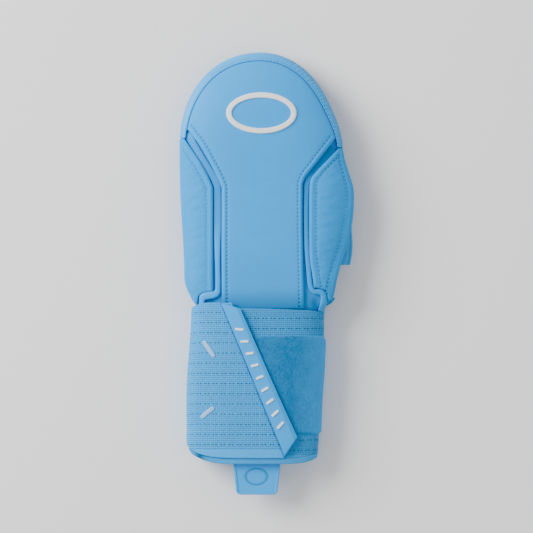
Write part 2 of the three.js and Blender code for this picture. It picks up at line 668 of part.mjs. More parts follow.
// Pull tab: a moulded tongue sewn inside the cuff's mouth, sloping down a little
const tabShape = new THREE.Shape();
const tabEnd = TAB.endY - TAB.mouthY;
const tabRoot = TAB.rootY - TAB.mouthY;
tabShape.moveTo(-TAB.rootHalf, tabRoot);
tabShape.lineTo(-TAB.rootHalf, 0);
tabShape.lineTo(-TAB.endHalf, tabEnd + TAB.corner);
tabShape.quadraticCurveTo(-TAB.endHalf, tabEnd, TAB.corner - TAB.endHalf, tabEnd);
tabShape.lineTo(TAB.endHalf - TAB.corner, tabEnd);
tabShape.quadraticCurveTo(TAB.endHalf, tabEnd, TAB.endHalf, tabEnd + TAB.corner);
tabShape.lineTo(TAB.rootHalf, 0);
tabShape.lineTo(TAB.rootHalf, tabRoot);
tabShape.closePath();
const tab = new THREE.ExtrudeGeometry(tabShape, {
  depth: TAB.thick - 2 * TAB.bevel,
  curveSegments: 4,
  bevelSize: TAB.bevel,
  bevelThickness: TAB.bevel,
  bevelOffset: -TAB.bevel,
  bevelSegments: 1,
});
tab.rotateX(degToRad(TAB.slope));
tab.translate(TAB.x, TAB.mouthY, TAB.top - TAB.thick + TAB.bevel);
add("pull_tab", "moulded", tab);

export default mitt;
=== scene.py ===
# %% [markdown]
# # A sliding mitt, dressed
#
# A base runner wears this padded mitt on the left hand and slides in with it first. It lies palm down.
# A moulded guard runs round the fingertips, three stitched pads cover the back of the hand with glossy
# trims in the channels between them, and a wide elastic strap wraps the wrist over a soft knit cuff.
#
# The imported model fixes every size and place. The fine surfaces below are worked out from the same
# outline, so each of them lies exactly where its plain solid was.

import bmesh
import bpy
import numpy as np
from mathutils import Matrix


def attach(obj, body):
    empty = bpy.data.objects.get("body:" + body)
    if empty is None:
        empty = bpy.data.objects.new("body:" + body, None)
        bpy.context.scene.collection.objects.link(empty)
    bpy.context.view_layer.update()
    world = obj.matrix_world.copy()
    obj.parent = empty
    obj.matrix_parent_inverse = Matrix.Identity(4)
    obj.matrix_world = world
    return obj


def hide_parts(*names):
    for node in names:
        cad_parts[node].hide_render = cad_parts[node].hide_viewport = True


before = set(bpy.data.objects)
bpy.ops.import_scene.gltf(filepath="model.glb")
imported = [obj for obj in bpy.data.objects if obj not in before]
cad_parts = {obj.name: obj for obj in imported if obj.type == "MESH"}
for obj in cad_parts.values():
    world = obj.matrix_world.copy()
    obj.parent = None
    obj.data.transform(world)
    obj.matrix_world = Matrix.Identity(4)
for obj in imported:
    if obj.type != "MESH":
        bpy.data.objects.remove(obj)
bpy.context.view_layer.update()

# %% [markdown]
# ## The hand's outline and the heights over it
#
# Everything is sewn to two plates, so two questions answer most of the placing: how far out does a point
# of the plan lie, and how high is the plate there? The outline could be drawn by hand in Blender, but a
# short table of widths with a smooth curve between its rows gives one answer for all pieces. Lengths are
# in millimetres here and go into the meshes in metres.

# %% Smooth steps and smooth tables
MM = 0.001


def smoothstep(x, low, high):
    """0 below low, 1 above high, and a soft S between them."""
    share = np.clip((x - low) / (high - low), 0, 1)
    return share * share * (3 - 2 * share)


def lerp(a, b, share):
    """The value a given share of the way from a to b."""
    return a + (b - a) * share


def smooth_table(rows):
    """Cubic through the rows of a table whose first column is the place. The slope at a row is the mean
    of the two straight slopes beside it."""
    rows = np.array(rows, float)
    at, values = rows[:, 0], rows[:, 1:]
    straight = np.diff(values, axis=0) / np.diff(at)[:, None]
    slopes = np.vstack([straight[:1], (straight[1:] + straight[:-1]) / 2, straight[-1:]])

    def read(place):
        """The values of every column at places between the rows."""
        place = np.clip(place, at[0], at[-1])
        k = np.clip(np.searchsorted(at, place, side="right") - 1, 0, len(at) - 2)
        step = (at[k + 1] - at[k])[..., None]
        t = (place - at[k])[..., None] / step
        near = (1 + 2 * t) * (1 - t) ** 2 * values[k] + t * (1 - t) ** 2 * step * slopes[k]
        far = t * t * (3 - 2 * t) * values[k + 1] - t * t * (1 - t) * step * slopes[k + 1]
        return np.moveaxis(near + far, -1, 0)

    return read


# y, left, right: the hand's outline from the wrist to where the fingertip arc starts
HAND_ROWS = [
    (-32.6, -55.5, 41), (-29, -56, 43.8), (-25, -57.5, 50.5), (-18, -61.5, 53.6), (-8, -65.4, 55.6),
    (8, -66.2, 59.8), (25, -67, 65.4), (40, -68, 68.4), (54, -68.8, 69.8), (68, -69.4, 69.4),
    (78, -69.6, 66.6), (90, -69.8, 62.8), (100, -69.9, 60.8),
]
# y, left, right, top: the wrist cuff's outer face from its mouth to the hand
WRIST_ROWS = [
    (-152, -51, 36.5, 30), (-146, -57, 38.6, 30.6), (-138, -61.6, 39.4, 31.2), (-124, -62.2, 40.2, 31.8),
    (-100, -62.4, 41.2, 32.4), (-81, -61.8, 42.6, 33), (-62, -60.4, 43.6, 33.6), (-50, -59.4, 44, 34),
    (-33, -58.6, 44.2, 34), (-20, -58.6, 46, 34),
]
hand_at = smooth_table(HAND_ROWS)
wrist_at = smooth_table(WRIST_ROWS)
WRIST_Y = HAND_ROWS[0][0]
print("hand", HAND_ROWS[-1][0] - WRIST_Y, "mm long up to the arc")

# %% The outline, and rays from the middle line to it
TIP_X, TIP_Y, TIP_REACH = -4.55, 100, 76.9
TIP_LITTLE, TIP_THUMB, TIP_SHOULDER = 65.35, 61.35, 4
SIDE_TURN = 100


def spread(x, y):
    """How far out a plan point lies, 0 on the middle line and 1 on the outline. Beside the palm it is the
    share of the half width. Round the fingertips it is a rounded ellipse's own measure."""
    left, right = hand_at(np.minimum(y, TIP_Y))
    beside = np.abs(x - (left + right) / 2) / ((right - left) / 2)
    across, along = np.abs(x - TIP_X), np.maximum(y - TIP_Y, 1e-9)
    little = x < TIP_X
    power = np.where(little, 2.15, 2.0)
    shoulder = TIP_SHOULDER * (across / np.hypot(across, along)) ** 12
    half = np.where(little, TIP_LITTLE, TIP_THUMB + shoulder)
    round_tip = ((across / half) ** power + (along / TIP_REACH) ** power) ** (1 / power)
    return np.where(y <= TIP_Y, beside, round_tip)


def ray(turn):
    """Spine and outline points of a ray. Turns run from 180 degrees at the little finger over the tips to
    0 at the thumb side, and go on by SIDE_TURN degrees each way down to the wrist."""
    past = np.maximum(np.maximum(turn - 180, -turn), 0) / SIDE_TURN
    y_side = lerp(TIP_Y, WRIST_Y, past)
    left, right = hand_at(y_side)
    way = np.stack([np.cos(np.radians(turn)), np.sin(np.radians(turn))], -1)
    reach = 1 / spread(TIP_X + way[..., 0], TIP_Y + np.maximum(way[..., 1], 0))
    tip = np.array([TIP_X, TIP_Y])
    straight = (past > 0)[..., None]
    spine = np.where(straight, np.stack([(left + right) / 2, y_side], -1), tip)
    side = np.stack([np.where(turn > 90, left, right), y_side], -1)
    edge = np.where(straight, side, tip + way * reach[..., None])
    return spine, edge


def in_from(turn, inset):
    """The plan point on a ray that lies inset from the outline: the ray's outer end moved towards the
    spine by that share of its length."""
    spine, edge = ray(turn)
    length = np.linalg.norm(edge - spine, axis=-1)
    return lerp(edge, spine, (inset / length)[..., None])


def turn_left(y):
    """The turn at a height of the little finger's side."""
    return 180 + SIDE_TURN * (TIP_Y - y) / (TIP_Y - WRIST_Y)


def turn_right(y):
    """The turn at a height of the thumb's side."""
    return 180 - turn_left(y)


print("outline points:", in_from(np.array([180.0, 90.0, 0.0]), 0).round(1).tolist())

# %% Heights of the two plates
PALM = dict(thick=5, flat=0.78, curl=6, inset=2.8, heel=2.9)
BACK = dict(thick=4, rim=22, rise=12, inset=2.4, droop=7, droop_from=90)
HEEL = dict(under_strap=3.8, inside_strap=0.93, lift_from=-9, lift_to=-21, blend_from=24, blend_to=-24)
HOLE = dict(top=6.6, bottom=-19.5, arch=3, flatten=0.8, reach=20)
WRIST = dict(middle=16, bottom=1.9, over=2.6, under=5, wall=3)
GAP, PAD_GAP = 0.4, 0.55


def by_thumb_hole(x, y):
    """How much a plan point belongs to the rim over the thumb hole: a soft step in x times a bell in y."""
    middle = (HOLE["top"] + HOLE["bottom"]) / 2
    return smoothstep(x, 10, 50) * np.exp(-(((y - middle) / HOLE["reach"]) ** 2))


def crown(x, y):
    """Height of the back plate: a dome over the hand that melts into the arch of the wrist, with a droop
    towards the tips and a small arch over the thumb hole."""
    out = np.minimum(spread(x, y), 1.05)
    tip_share = np.maximum(y - BACK["droop_from"], 0) / (TIP_Y + TIP_REACH - BACK["droop_from"])
    hand = BACK["rim"] - BACK["droop"] * tip_share**2 + BACK["rise"] * (1 - out**4)
    arch = (1 - (HEEL["inside_strap"] * out) ** WRIST["over"]) ** (1 / WRIST["over"])
    wrist = WRIST["middle"] + (wrist_at(y)[2] - HEEL["under_strap"] - WRIST["middle"]) * arch
    melt = 1 - smoothstep(y, HEEL["blend_to"], HEEL["blend_from"])
    return lerp(hand, wrist, melt) + HOLE["arch"] * by_thumb_hole(x, y)


def sole(x, y):
    """Height of the palm plate's lower face: flat, with a rim that curls up and a heel that lifts."""
    out = np.maximum(spread(x, y) - PALM["flat"], 0) / (1 - PALM["flat"])
    curl = PALM["curl"] * out**2 * (1 - HOLE["flatten"] * by_thumb_hole(x, y))
    return curl + PALM["heel"] * (1 - smoothstep(y, HEEL["lift_to"], HEEL["lift_from"]))


def wrist_point(turn, y, lift):
    """A point on the wrist, lifted squarely off it. The section is a flattened superellipse, rounder on
    top than underneath. Turn 0 is the thumb's side and 90 the top."""
    left, right, top = wrist_at(y)
    cos, sin = np.cos(np.radians(turn)), np.sin(np.radians(turn))
    power = np.where(sin >= 0, WRIST["over"], WRIST["under"])
    half = (right - left) / 2
    tall = np.where(sin >= 0, top - WRIST["middle"], WRIST["middle"] - WRIST["bottom"])
    out, up = np.abs(cos) ** (2 / power), np.abs(sin) ** (2 / power)
    push_x, push_z = out ** (power - 1) / half, up ** (power - 1) / tall
    scale = lift / np.hypot(push_x, push_z)
    x = (left + right) / 2 + np.sign(cos) * (half * out + scale * push_x)
    z = WRIST["middle"] + np.sign(sin) * (tall * up + scale * push_z)
    return np.stack(np.broadcast_arrays(x, y, z), -1)


def turn_over(x, y):
    """The turn at which the top of the wrist lies over a plan point."""
    left, right, _ = wrist_at(y)
    out = np.clip((x - (left + right) / 2) / ((right - left) / 2), -1, 1)
    return np.degrees(np.arccos(np.sign(out) * np.abs(out) ** (WRIST["over"] / 2)))


print("plate height over the knuckles:", round(float(crown(np.array(-4.0), np.array(60.0))), 1), "mm")

# %% [markdown]
# ## From grids of points to closed meshes
#
# A piece with a thickness is two grids of points, its outer and its inner face, joined by a wall round the
# rim. Solidify could give the thickness too, but here both faces are already known. The inner face is
# hidden on most pieces, so it may keep only every second or fourth point.

# %% Points and faces to a mesh
print(len(bpy.data.meshes), "plain meshes came with the frame")


def put_mesh(name, points, faces, uv=None, fold=None):
    """A mesh object from points in millimetres. uv is in metres along the surface, and fold is painted
    shade from 0 to 1 that the finishes darken and dull by: in seams, grooves and hollows, and where other
    parts cast shade on a piece."""
    mesh = bpy.data.meshes.new(name)
    mesh.from_pydata((points * MM).tolist(), [], faces)
    corner = np.empty(len(mesh.loops), int)
    mesh.loops.foreach_get("vertex_index", corner)
    if uv is not None:
        mesh.uv_layers.new(name="surface").data.foreach_set("uv", (uv[corner] * MM).ravel())
    depth = mesh.attributes.new("fold", "FLOAT", "POINT")
    depth.data.foreach_set("value", np.zeros(len(points)) if fold is None else np.clip(fold, 0, 1))
    piece = bpy.data.objects.new(name, mesh)
    bpy.context.scene.collection.objects.link(piece)
    return piece


def tidy_shape(piece, sharp=35):
    """Welds points that meet, turns the faces outwards and shades them smooth but for sharp edges."""
    shape = bmesh.new()
    shape.from_mesh(piece.data)
    bmesh.ops.remove_doubles(shape, verts=shape.verts, dist=2e-6)
    bmesh.ops.dissolve_degenerate(shape, edges=shape.edges, dist=1e-7)
    if shape.calc_volume(signed=True) < 0:
        bmesh.ops.reverse_faces(shape, faces=shape.faces)
    shape.to_mesh(piece.data)
    shape.free()
    piece.data.shade_smooth()
    piece.data.set_sharp_from_angle(angle=np.radians(sharp))
    return piece


# %% Faces between two grids


def quads(index):
    """The four-cornered faces between the rows and columns of a grid of point numbers."""
    sides = [index[:-1, :-1], index[1:, :-1], index[1:, 1:], index[:-1, 1:]]
    return np.stack(sides, -1).reshape(-1, 4)


def rim_wall(outer, inner, thin, forward):
    """Faces between two lines of point numbers, where the inner one keeps each thin-th point."""
    start = np.arange(len(inner) - 1)[:, None]
    fan = outer[start * thin + np.arange(thin + 1)]
    ends = [inner[1:, None], inner[:-1, None]]
    strip = [fan, *ends] if forward else [fan[:, ::-1], *ends[::-1]]
    return np.concatenate(strip, 1).tolist()


def solid_between(name, outer, inner, thin=(1, 1), tube=False, sewn=False, sharp=35, uv=None, fold=None):
    """A closed body between two grids of points: both grids' faces and a wall round their rim. thin says
    which rows and columns the inner one keeps. tube joins the last row to the first, and sewn leaves out
    the wall on the first column, where the two halves of a plate meet. Edges over sharp degrees stay
    crisp."""
    rows, columns = outer.shape[:2]
    few = inner[:: thin[0], :: thin[1]]
    out_at = np.arange(rows * columns).reshape(rows, columns)
    in_at = rows * columns + np.arange(few.shape[0] * few.shape[1]).reshape(few.shape[:2])
    if tube:
        out_at, in_at = np.vstack([out_at, out_at[:1]]), np.vstack([in_at, in_at[:1]])
    faces = quads(out_at).tolist() + quads(in_at)[:, ::-1].tolist()
    if not sewn:
        faces += rim_wall(out_at[:, 0], in_at[:, 0], thin[0], False)
    faces += rim_wall(out_at[:, -1], in_at[:, -1], thin[0], True)
    if not tube:
        faces += rim_wall(out_at[0], in_at[0], thin[1], True)
        faces += rim_wall(out_at[-1], in_at[-1], thin[1], False)
    both = [np.concatenate([outer.reshape(-1, 3), few.reshape(-1, 3)])]
    for extra in (uv, fold):
        if extra is not None:
            extra = extra.reshape(rows, columns, -1)
            few_extra = extra[:: thin[0], :: thin[1]]
            extra = np.concatenate([a.reshape(-1, a.shape[-1]) for a in (extra, few_extra)])
        both.append(extra)
    points, uv, fold = both
    return tidy_shape(put_mesh(name, points, faces, uv, None if fold is None else fold[:, 0]), sharp)


print("a square of four points has", len(quads(np.arange(4).reshape(2, 2))), "face")

# %% Distances on a grid


def walked(points):
    """Distance walked along the rows of a grid of points, from the first row on."""
    steps = np.linalg.norm(np.diff(points, axis=0), axis=-1)
    return np.concatenate([np.zeros((1,) + steps.shape[1:]), np.cumsum(steps, axis=0)])


def surface_uv(points):
    """Distances along the rows and along the columns of a grid, for a pattern that follows the cloth."""
    return np.stack([walked(points), walked(np.swapaxes(points, 0, 1)).T], -1)


print("a step 3 along and 4 across is", walked(np.array([[[0, 0]], [[3, 4]]]))[-1, 0], "long")

# %% Dressing a piece


def triangles(piece):
    """The number of triangles in a piece's mesh."""
    return sum(len(face.vertices) - 2 for face in piece.data.polygons)


def dress(piece, finish, slot, *nodes):
    """Gives a piece its finish, lets it ride on the mitt and stand for its plain solids. slot is not used."""
    piece.data.materials.clear()
    piece.data.materials.append(finish)
    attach(piece, "root")
    if nodes:
        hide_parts(*nodes)
    print(f"{piece.name}: {triangles(piece)} triangles")
    return piece


# %% [markdown]
# ## Finishes
#
# The mitt is one sky blue all over, so its materials differ by their surface: satin moulded skin, matte
# woven cloth, knit, ribbed elastic, velvety loop pile, glossy trim and smooth moulding. Each finish
# mottles its colour a little, darkens and dulls by a painted shade where seams, grooves and hollows lie
# or other parts shade it, and raises its own fine grain as a bump.

# %% The mitt's blue
SKY = np.array([0.008, 0.34, 0.83])


def sky(light=1.0, pale=0.0):
    """The mitt's sky blue in linear light, brighter or darker, and mixed with white by pale."""
    return (*np.clip(lerp(SKY * light, 0.95, pale), 0, 0.95).tolist(), 1.0)


def darker(colour, share):
    """The same colour with less light."""
    return tuple(min(channel * share, 0.97) for channel in colour[:3]) + (1.0,)


print("sky blue in linear light:", sky()[:3])

# %% One kind of finish for all pieces


class Finish:
    """A material whose colour is mottled, and which turns darker and duller by a painted shade as the fold
    attribute goes from 0 to 1. Bumps are added one on another."""

    def __init__(self, name, colour, roughness, mottle=0.06, painted_shade_depth=0.5, **sockets):
        """Noise mixes two shades of the colour by mottle, and painted_shade_depth is the share of light left
        where the painted shade is full. Other sockets of the shader go by their names, with _ for a space."""
        self.material = bpy.data.materials.new(name)
        self.material.use_nodes = True
        self.tree = self.material.node_tree
        self.shader = self.tree.nodes["Principled BSDF"]
        for socket, value in sockets.items():
            self.shader.inputs[socket.replace("_", " ")].default_value = value
        self.place = self.add("ShaderNodeTexCoord")
        blotches = self.noise(18, detail=3)
        colours = self.add("ShaderNodeMix", data_type="RGBA")
        self.join(blotches, colours.inputs["Factor"])
        colours.inputs["A"].default_value = darker(colour, 1 - mottle)
        colours.inputs["B"].default_value = darker(colour, 1 + mottle)
        # Painted shade: the fold attribute mixes the colour towards its darker copy and dulls the shine.
        depth = self.add("ShaderNodeAttribute", attribute_name="fold")
        folds = self.add("ShaderNodeMix", data_type="RGBA")
        self.join(depth.outputs["Fac"], folds.inputs["Factor"])
        self.join(colours.outputs["Result"], folds.inputs["A"])
        folds.inputs["B"].default_value = darker(colour, painted_shade_depth)
        self.join(folds.outputs["Result"], self.shader.inputs["Base Color"])
        for shine in ("Specular IOR Level", "Coat Weight"):
            dull_and_shaded = self.add("ShaderNodeMapRange")
            self.join(depth.outputs["Fac"], dull_and_shaded.inputs["Value"])
            dull_and_shaded.inputs["To Min"].default_value = self.shader.inputs[shine].default_value
            dull_and_shaded.inputs["To Max"].default_value = 0
            self.join(dull_and_shaded.outputs["Result"], self.shader.inputs[shine])
        gloss = self.add("ShaderNodeMapRange")
        self.join(self.noise(4, detail=4), gloss.inputs["Value"])
        gloss.inputs["To Min"].default_value = roughness - 0.06
        gloss.inputs["To Max"].default_value = roughness + 0.06
        self.join(gloss.outputs["Result"], self.shader.inputs["Roughness"])

    def add(self, kind, **settings):
        """A new node with its settings."""
        node = self.tree.nodes.new(kind)
        for name, value in settings.items():
            setattr(node, name, value)
        return node

    def join(self, output, socket):
        """A link between two nodes."""
        self.tree.links.new(output, socket)

    def noise(self, size, detail=2.0, along="Object"):
        """Soft noise whose blotches are about size millimetres across."""
        cloud = self.add("ShaderNodeTexNoise")
        cloud.inputs["Scale"].default_value = 1 / (size * MM)
        cloud.inputs["Detail"].default_value = detail
        self.join(self.place.outputs[along], cloud.inputs["Vector"])
        return cloud.outputs["Fac"]

    def maths(self, operation, one, other):
        """One value worked out from another and a number or a second value."""
        node = self.add("ShaderNodeMath", operation=operation)
        self.join(one, node.inputs[0])
        if isinstance(other, (int, float)):
            node.inputs[1].default_value = other
        else:
            self.join(other, node.inputs[1])
        return node.outputs["Value"]

    def wave(self, axes, pitch, along="Object", crest=None):
        """A sine over a weighted sum of the axes, that repeats every pitch millimetres. crest moves it so
        that it peaks there."""
        total = self.add("ShaderNodeVectorMath", operation="DOT_PRODUCT")
        self.join(self.place.outputs[along], total.inputs[0])
        total.inputs[1].default_value = [2 * np.pi / (pitch * MM) * weight for weight in axes]
        shift = 0.0 if crest is None else float(np.pi / 2 - 2 * np.pi * crest / pitch)
        return self.maths("SINE", self.maths("ADD", total.outputs["Value"], shift), 0.0)

    def peaks(self, axes, pitch, crest, width):
        """Narrow crests on the surface, as wide as width and one every pitch: a power of a wave."""
        half = self.maths("MULTIPLY", self.maths("ADD", self.wave(axes, pitch, "UV", crest), 1.0), 0.5)
        return self.maths("POWER", half, (pitch / (np.pi * width)) ** 2)

    def tint(self, mask, share, colour):
        """Darkens the colour where a mask is high."""
        mix = self.add("ShaderNodeMix", data_type="RGBA")
        self.join(mask, mix.inputs["Factor"])
        self.join(self.shader.inputs["Base Color"].links[0].from_socket, mix.inputs["A"])
        mix.inputs["B"].default_value = darker(colour, share)
        self.join(mix.outputs["Result"], self.shader.inputs["Base Color"])
        return self

    def raise_by(self, height, depth):
        """Adds a bump of the given depth in millimetres to what is raised already."""
        bump = self.add("ShaderNodeBump")
        bump.inputs["Distance"].default_value = depth * MM
        self.join(height, bump.inputs["Height"])
        before = self.shader.inputs["Normal"].links
        if before:
            self.join(before[0].from_socket, bump.inputs["Normal"])
        self.join(bump.outputs["Normal"], self.shader.inputs["Normal"])
        return self

    def weave(self, across, along_pitch, depth, along="Object"):
        """A plain weave: threads that pass over and under each other, as a product of two sines."""
        warp, weft = self.wave((1, 0, 0), across, along), self.wave((0, 1, 0), along_pitch, along)
        return self.raise_by(self.maths("MULTIPLY", warp, weft), depth)


# %% Each finish with its own grain
satin = Finish("satin_skin", sky(1.06), 0.5, mottle=0.03, painted_shade_depth=0.35, Specular_IOR_Level=0.12)
satin.raise_by(satin.noise(0.5), 0.02).raise_by(satin.noise(7), 0.12)
panel_cloth = Finish("panel_cloth", sky(1.03), 0.75, mottle=0.05, painted_shade_depth=0.35, Specular_IOR_Level=0.08)
panel_cloth.weave(0.9, 0.9, 0.06).raise_by(panel_cloth.noise(9), 0.25)
shell_cloth = Finish("shell_cloth", sky(0.86), 0.8, mottle=0.05, painted_shade_depth=0.35, Specular_IOR_Level=0.2)
shell_cloth.weave(0.8, 1.1, 0.05).raise_by(shell_cloth.noise(10), 0.2)
knit = Finish("stretch_knit", sky(0.88), 0.9, mottle=0.1, painted_shade_depth=0.3, Specular_IOR_Level=0.2)
knit.weave(1.0, 1.3, 0.15, "UV").raise_by(knit.noise(3, 4), 0.2)
# The same knit painted lighter, as painted light: the thumb gusset's sideways wall lies in shade, and the hem
# shares this lighter copy.
painted_light_knit = Finish("painted_light_knit", sky(1.14, 0.02), 0.85, mottle=0.1, painted_shade_depth=0.3, Specular_IOR_Level=0.3)
painted_light_knit.weave(1.0, 1.3, 0.15, "UV").raise_by(painted_light_knit.noise(3, 4), 0.2)
# The pile's colour is set light: towards the thumb's side, where the patch's painted shade is thin, it shows
# as a painted sheen.
pile = Finish("loop_pile", sky(1.12, 0.02), 0.95, mottle=0.04, painted_shade_depth=0.3, Sheen_Weight=0.3,
              Sheen_Roughness=0.35, Sheen_Tint=sky(1.2, 0.1), Specular_IOR_Level=0.1)
pile.raise_by(pile.noise(0.6, 4), 0.4)
guard_skin = Finish("guard_skin", sky(1.14, 0.02), 0.38, mottle=0.05, painted_shade_depth=0.3, Specular_IOR_Level=0.3)
guard_skin.raise_by(guard_skin.noise(0.8), 0.03).raise_by(guard_skin.noise(4, 4), 0.3)
moulding = Finish("satin_moulding", sky(1.14), 0.42, mottle=0.02, painted_shade_depth=0.3, Specular_IOR_Level=0.3)
moulding.raise_by(moulding.noise(0.4), 0.012)
gloss_trim = Finish("gloss_trim", sky(1.14), 0.4, mottle=0.02, painted_shade_depth=0.5, Coat_Weight=0.15,
                    Coat_Roughness=0.12, Specular_IOR_Level=0.25)
gloss_trim.raise_by(gloss_trim.noise(2.5), 0.03)
thread = Finish("sewing_thread", sky(1.0), 0.7, mottle=0.08)
thread.raise_by(thread.noise(0.3), 0.05)
white_print = Finish("white_print", (0.92, 0.93, 0.95, 1), 0.4, mottle=0.01)
white_print.raise_by(white_print.noise(0.5), 0.02)
pale_print = Finish("pale_print", sky(1.0, 0.3), 0.4, mottle=0.02)
pale_print.raise_by(pale_print.noise(0.5), 0.02)
print(len(bpy.data.materials), "materials so far")

# %% The elastic: ribs, threads and rows of paired pin holes
RIB, THREAD = 1.62, 1.55
PIN = dict(pitch=6.5, apart=2.5, width=0.62, tall=0.5, first_row=5.6, row_pitch=8.1)
BLUE_ELASTIC = sky(1.14, 0.02)
elastic = Finish("ribbed_elastic", BLUE_ELASTIC, 0.8, mottle=0.08, painted_shade_depth=0.25, Specular_IOR_Level=0.25)
ribs, threads = elastic.wave((0, 1, 0), RIB, "UV"), elastic.wave((1, 0, 0), THREAD, "UV")
elastic.raise_by(ribs, 0.22).raise_by(elastic.maths("MULTIPLY", ribs, threads), 0.1)
elastic.raise_by(elastic.noise(1.3, 3), 0.3)
furrows = elastic.peaks((0, 1, 0), RIB, RIB / 2, 0.45)
mesh_dots = elastic.maths("MULTIPLY", furrows, elastic.peaks((1, 0, 0), THREAD, 0, 0.4))
# Painted shade: a little darker in the rib furrows and where the threads cross in them.
elastic.tint(elastic.maths("MULTIPLY", furrows, 0.1), 0.5, BLUE_ELASTIC)
elastic.tint(elastic.maths("MULTIPLY", mesh_dots, 0.2), 0.45, BLUE_ELASTIC)
pair = elastic.maths("MAXIMUM", elastic.peaks((1, 0, 0), PIN["pitch"], PIN["apart"] / 2, PIN["width"]),
                     elastic.peaks((1, 0, 0), PIN["pitch"], -PIN["apart"] / 2, PIN["width"]))
rows = elastic.peaks((0, 1, 0), PIN["row_pitch"], PIN["first_row"], PIN["tall"])
pins = elastic.maths("MULTIPLY", pair, rows)
# The pin holes are painted nearly black, a painted shade inside each hole, and the bump sinks them.
elastic.tint(pins, 0.1, BLUE_ELASTIC).raise_by(elastic.maths("MULTIPLY", pins, -1.0), 0.4)
print("pin holes in rows", PIN["row_pitch"], "mm apart, over ribs", RIB, "mm apart")

# %% [markdown]
# ## The two plates
#
# The mitt's body is a padded plate under the palm and another over the back of the hand. Both could be
# cut from a block, but rays from the middle line to the outline make one grid that follows the rim, so
# the rim stays evenly rounded. The palm is sewn flat round its rim, which leaves a shallow groove.

# %% Turns round the hand
LITTLE_WRIST, THUMB_WRIST = 180.0 + SIDE_TURN, -float(SIDE_TURN)


def stops(*marks):
    """Even stops through marks, given as value, steps, value, steps, value and so on."""
    line = [np.linspace(a, b, n, endpoint=False) for a, n, b in zip(marks[0:-2:2], marks[1::2], marks[2::2])]
    return np.concatenate([*line, [marks[-1]]])


ALL_ROUND = stops(LITTLE_WRIST, 90, 180.0, 120, 0.0, 90, THUMB_WRIST)


def edge_stops(reach, step, fine=3.0):
    """Shares from 0 to 1 that come closer towards 1, for a rim that needs a finer mesh."""
    count = int(reach / step)
    return 1 - (1 - np.linspace(0, 1, count)) ** fine


def raised(plan, z):
    """Plan points with a height each, as points in space."""
    return np.concatenate([plan, z[..., None]], -1)


def plate(height, lift, inset, shares):
    """A plate's face: each ray runs from the middle line to inset within the outline, at the height of
    the plate plus a lift that may vary along the ray."""
    turn, share = ALL_ROUND[:, None], shares[None, :]
    spine, _ = ray(turn)
    plan = lerp(spine, in_from(turn, inset), share[..., None])
    return raised(plan, height(plan[..., 0], plan[..., 1]) + lift)


RINGS = edge_stops(60, 1.4, 2.2)
rounded_off = 1 - np.sqrt(1 - RINGS**24)
print("each plate's face is a grid of", len(ALL_ROUND), "by", len(RINGS), "points")

# %% The palm plate
PALM_SEAM = dict(ray=66, inset=6, width=1.1, depth=0.7)
PALM_EDGE, BACK_EDGE = 1.6, 1.4
from_rim = (1 - RINGS) * PALM_SEAM["ray"]
palm_groove = PALM_SEAM["depth"] * np.exp(-(((from_rim - PALM_SEAM["inset"]) / PALM_SEAM["width"]) ** 2))
palm_under = plate(sole, (palm_groove + PALM_EDGE * rounded_off)[None, :], PALM["inset"], RINGS)
palm_over = plate(sole, (PALM["thick"] - PALM_EDGE * rounded_off)[None, :], PALM["inset"], RINGS)
# The sewn groove is also painted darker by its depth: painted shade along the seam.
palm = solid_between("padded_palm", palm_under, palm_over, sewn=True, uv=surface_uv(palm_under),
                     fold=np.broadcast_to(palm_groove, palm_under.shape[:2]))
dress(palm, shell_cloth.material, "shell", "palm_shell")

# %% The back plate


def recess(x, y):
    """The hollows under the two hooks: soft round dips in the back plate."""
    thumb = np.exp(-(((x - 38.6) / 3.4) ** 2) - ((y + 24.5) / 5.5) ** 2)
    little = np.exp(-(((x + 44) / 3.6) ** 2) - ((y + 22.5) / 2.6) ** 2)
    return thumb + 0.7 * little


def back_height(x, y):
    """The back plate's height with its recesses."""
    return crown(x, y) - 0.9 * recess(x, y)


back_over = plate(back_height, (-BACK_EDGE * rounded_off)[None, :], BACK["inset"], RINGS)
back_under = plate(crown, (-BACK["thick"] + BACK_EDGE * rounded_off)[None, :], BACK["inset"], RINGS)
# The hollows under the hooks are painted darker as well: painted shade in them.
back = solid_between("padded_back", back_over, back_under, sewn=True, uv=surface_uv(back_over),
                     fold=0.55 * recess(back_over[..., 0], back_over[..., 1]))
dress(back, shell_cloth.material, "shell", "back_shell")

# %% [markdown]
# ## Knit walls and binding
#
# Between the plates runs a wall of stretch knit. At the thumb it bulges into a short gusset that stops
# at the thumb hole, where the knit gathers into upright folds. A tape binds the palm's rim.

# %% Walls of knit
GUSSET = dict(thick=2, inset=3.6, bulge=1.4, gap=0.7)
THUMB_GUSSET = dict(top=42, bulge_top=3, bulge_hole=10.4)
HEEL_BULGE = 5
WALL_STOPS = np.linspace(0, 1, 33)


def wall_folds(turns, gathers):
    """Long folds of the wall, deepest at half its height, that wander a little as they run."""
    turn, v = turns[:, None], WALL_STOPS[None, :]
    return gathers * np.sin(2 * np.pi * 4.2 * v + 1.6 * np.sin(np.radians(turn) * 2.6)) * np.sin(np.pi * v)


def knit_wall(turns, inset, bulge, gathers=0.0):
    """The wall between the plates: it leans out by bulge at half its height, and gathers lays it in
    folds."""
    turn, v = turns[:, None], WALL_STOPS[None, :]
    foot = in_from(turn, GUSSET["inset"])
    out = bulge(foot[..., 1]) * np.sin(np.pi * v) + wall_folds(turns, gathers)
    plan = in_from(turn, inset - out)
    low = sole(foot[..., 0], foot[..., 1]) + PALM["thick"] + GUSSET["gap"]
    high = crown(foot[..., 0], foot[..., 1]) - BACK["thick"] - GUSSET["gap"]
    return raised(plan, lerp(low, high, v))


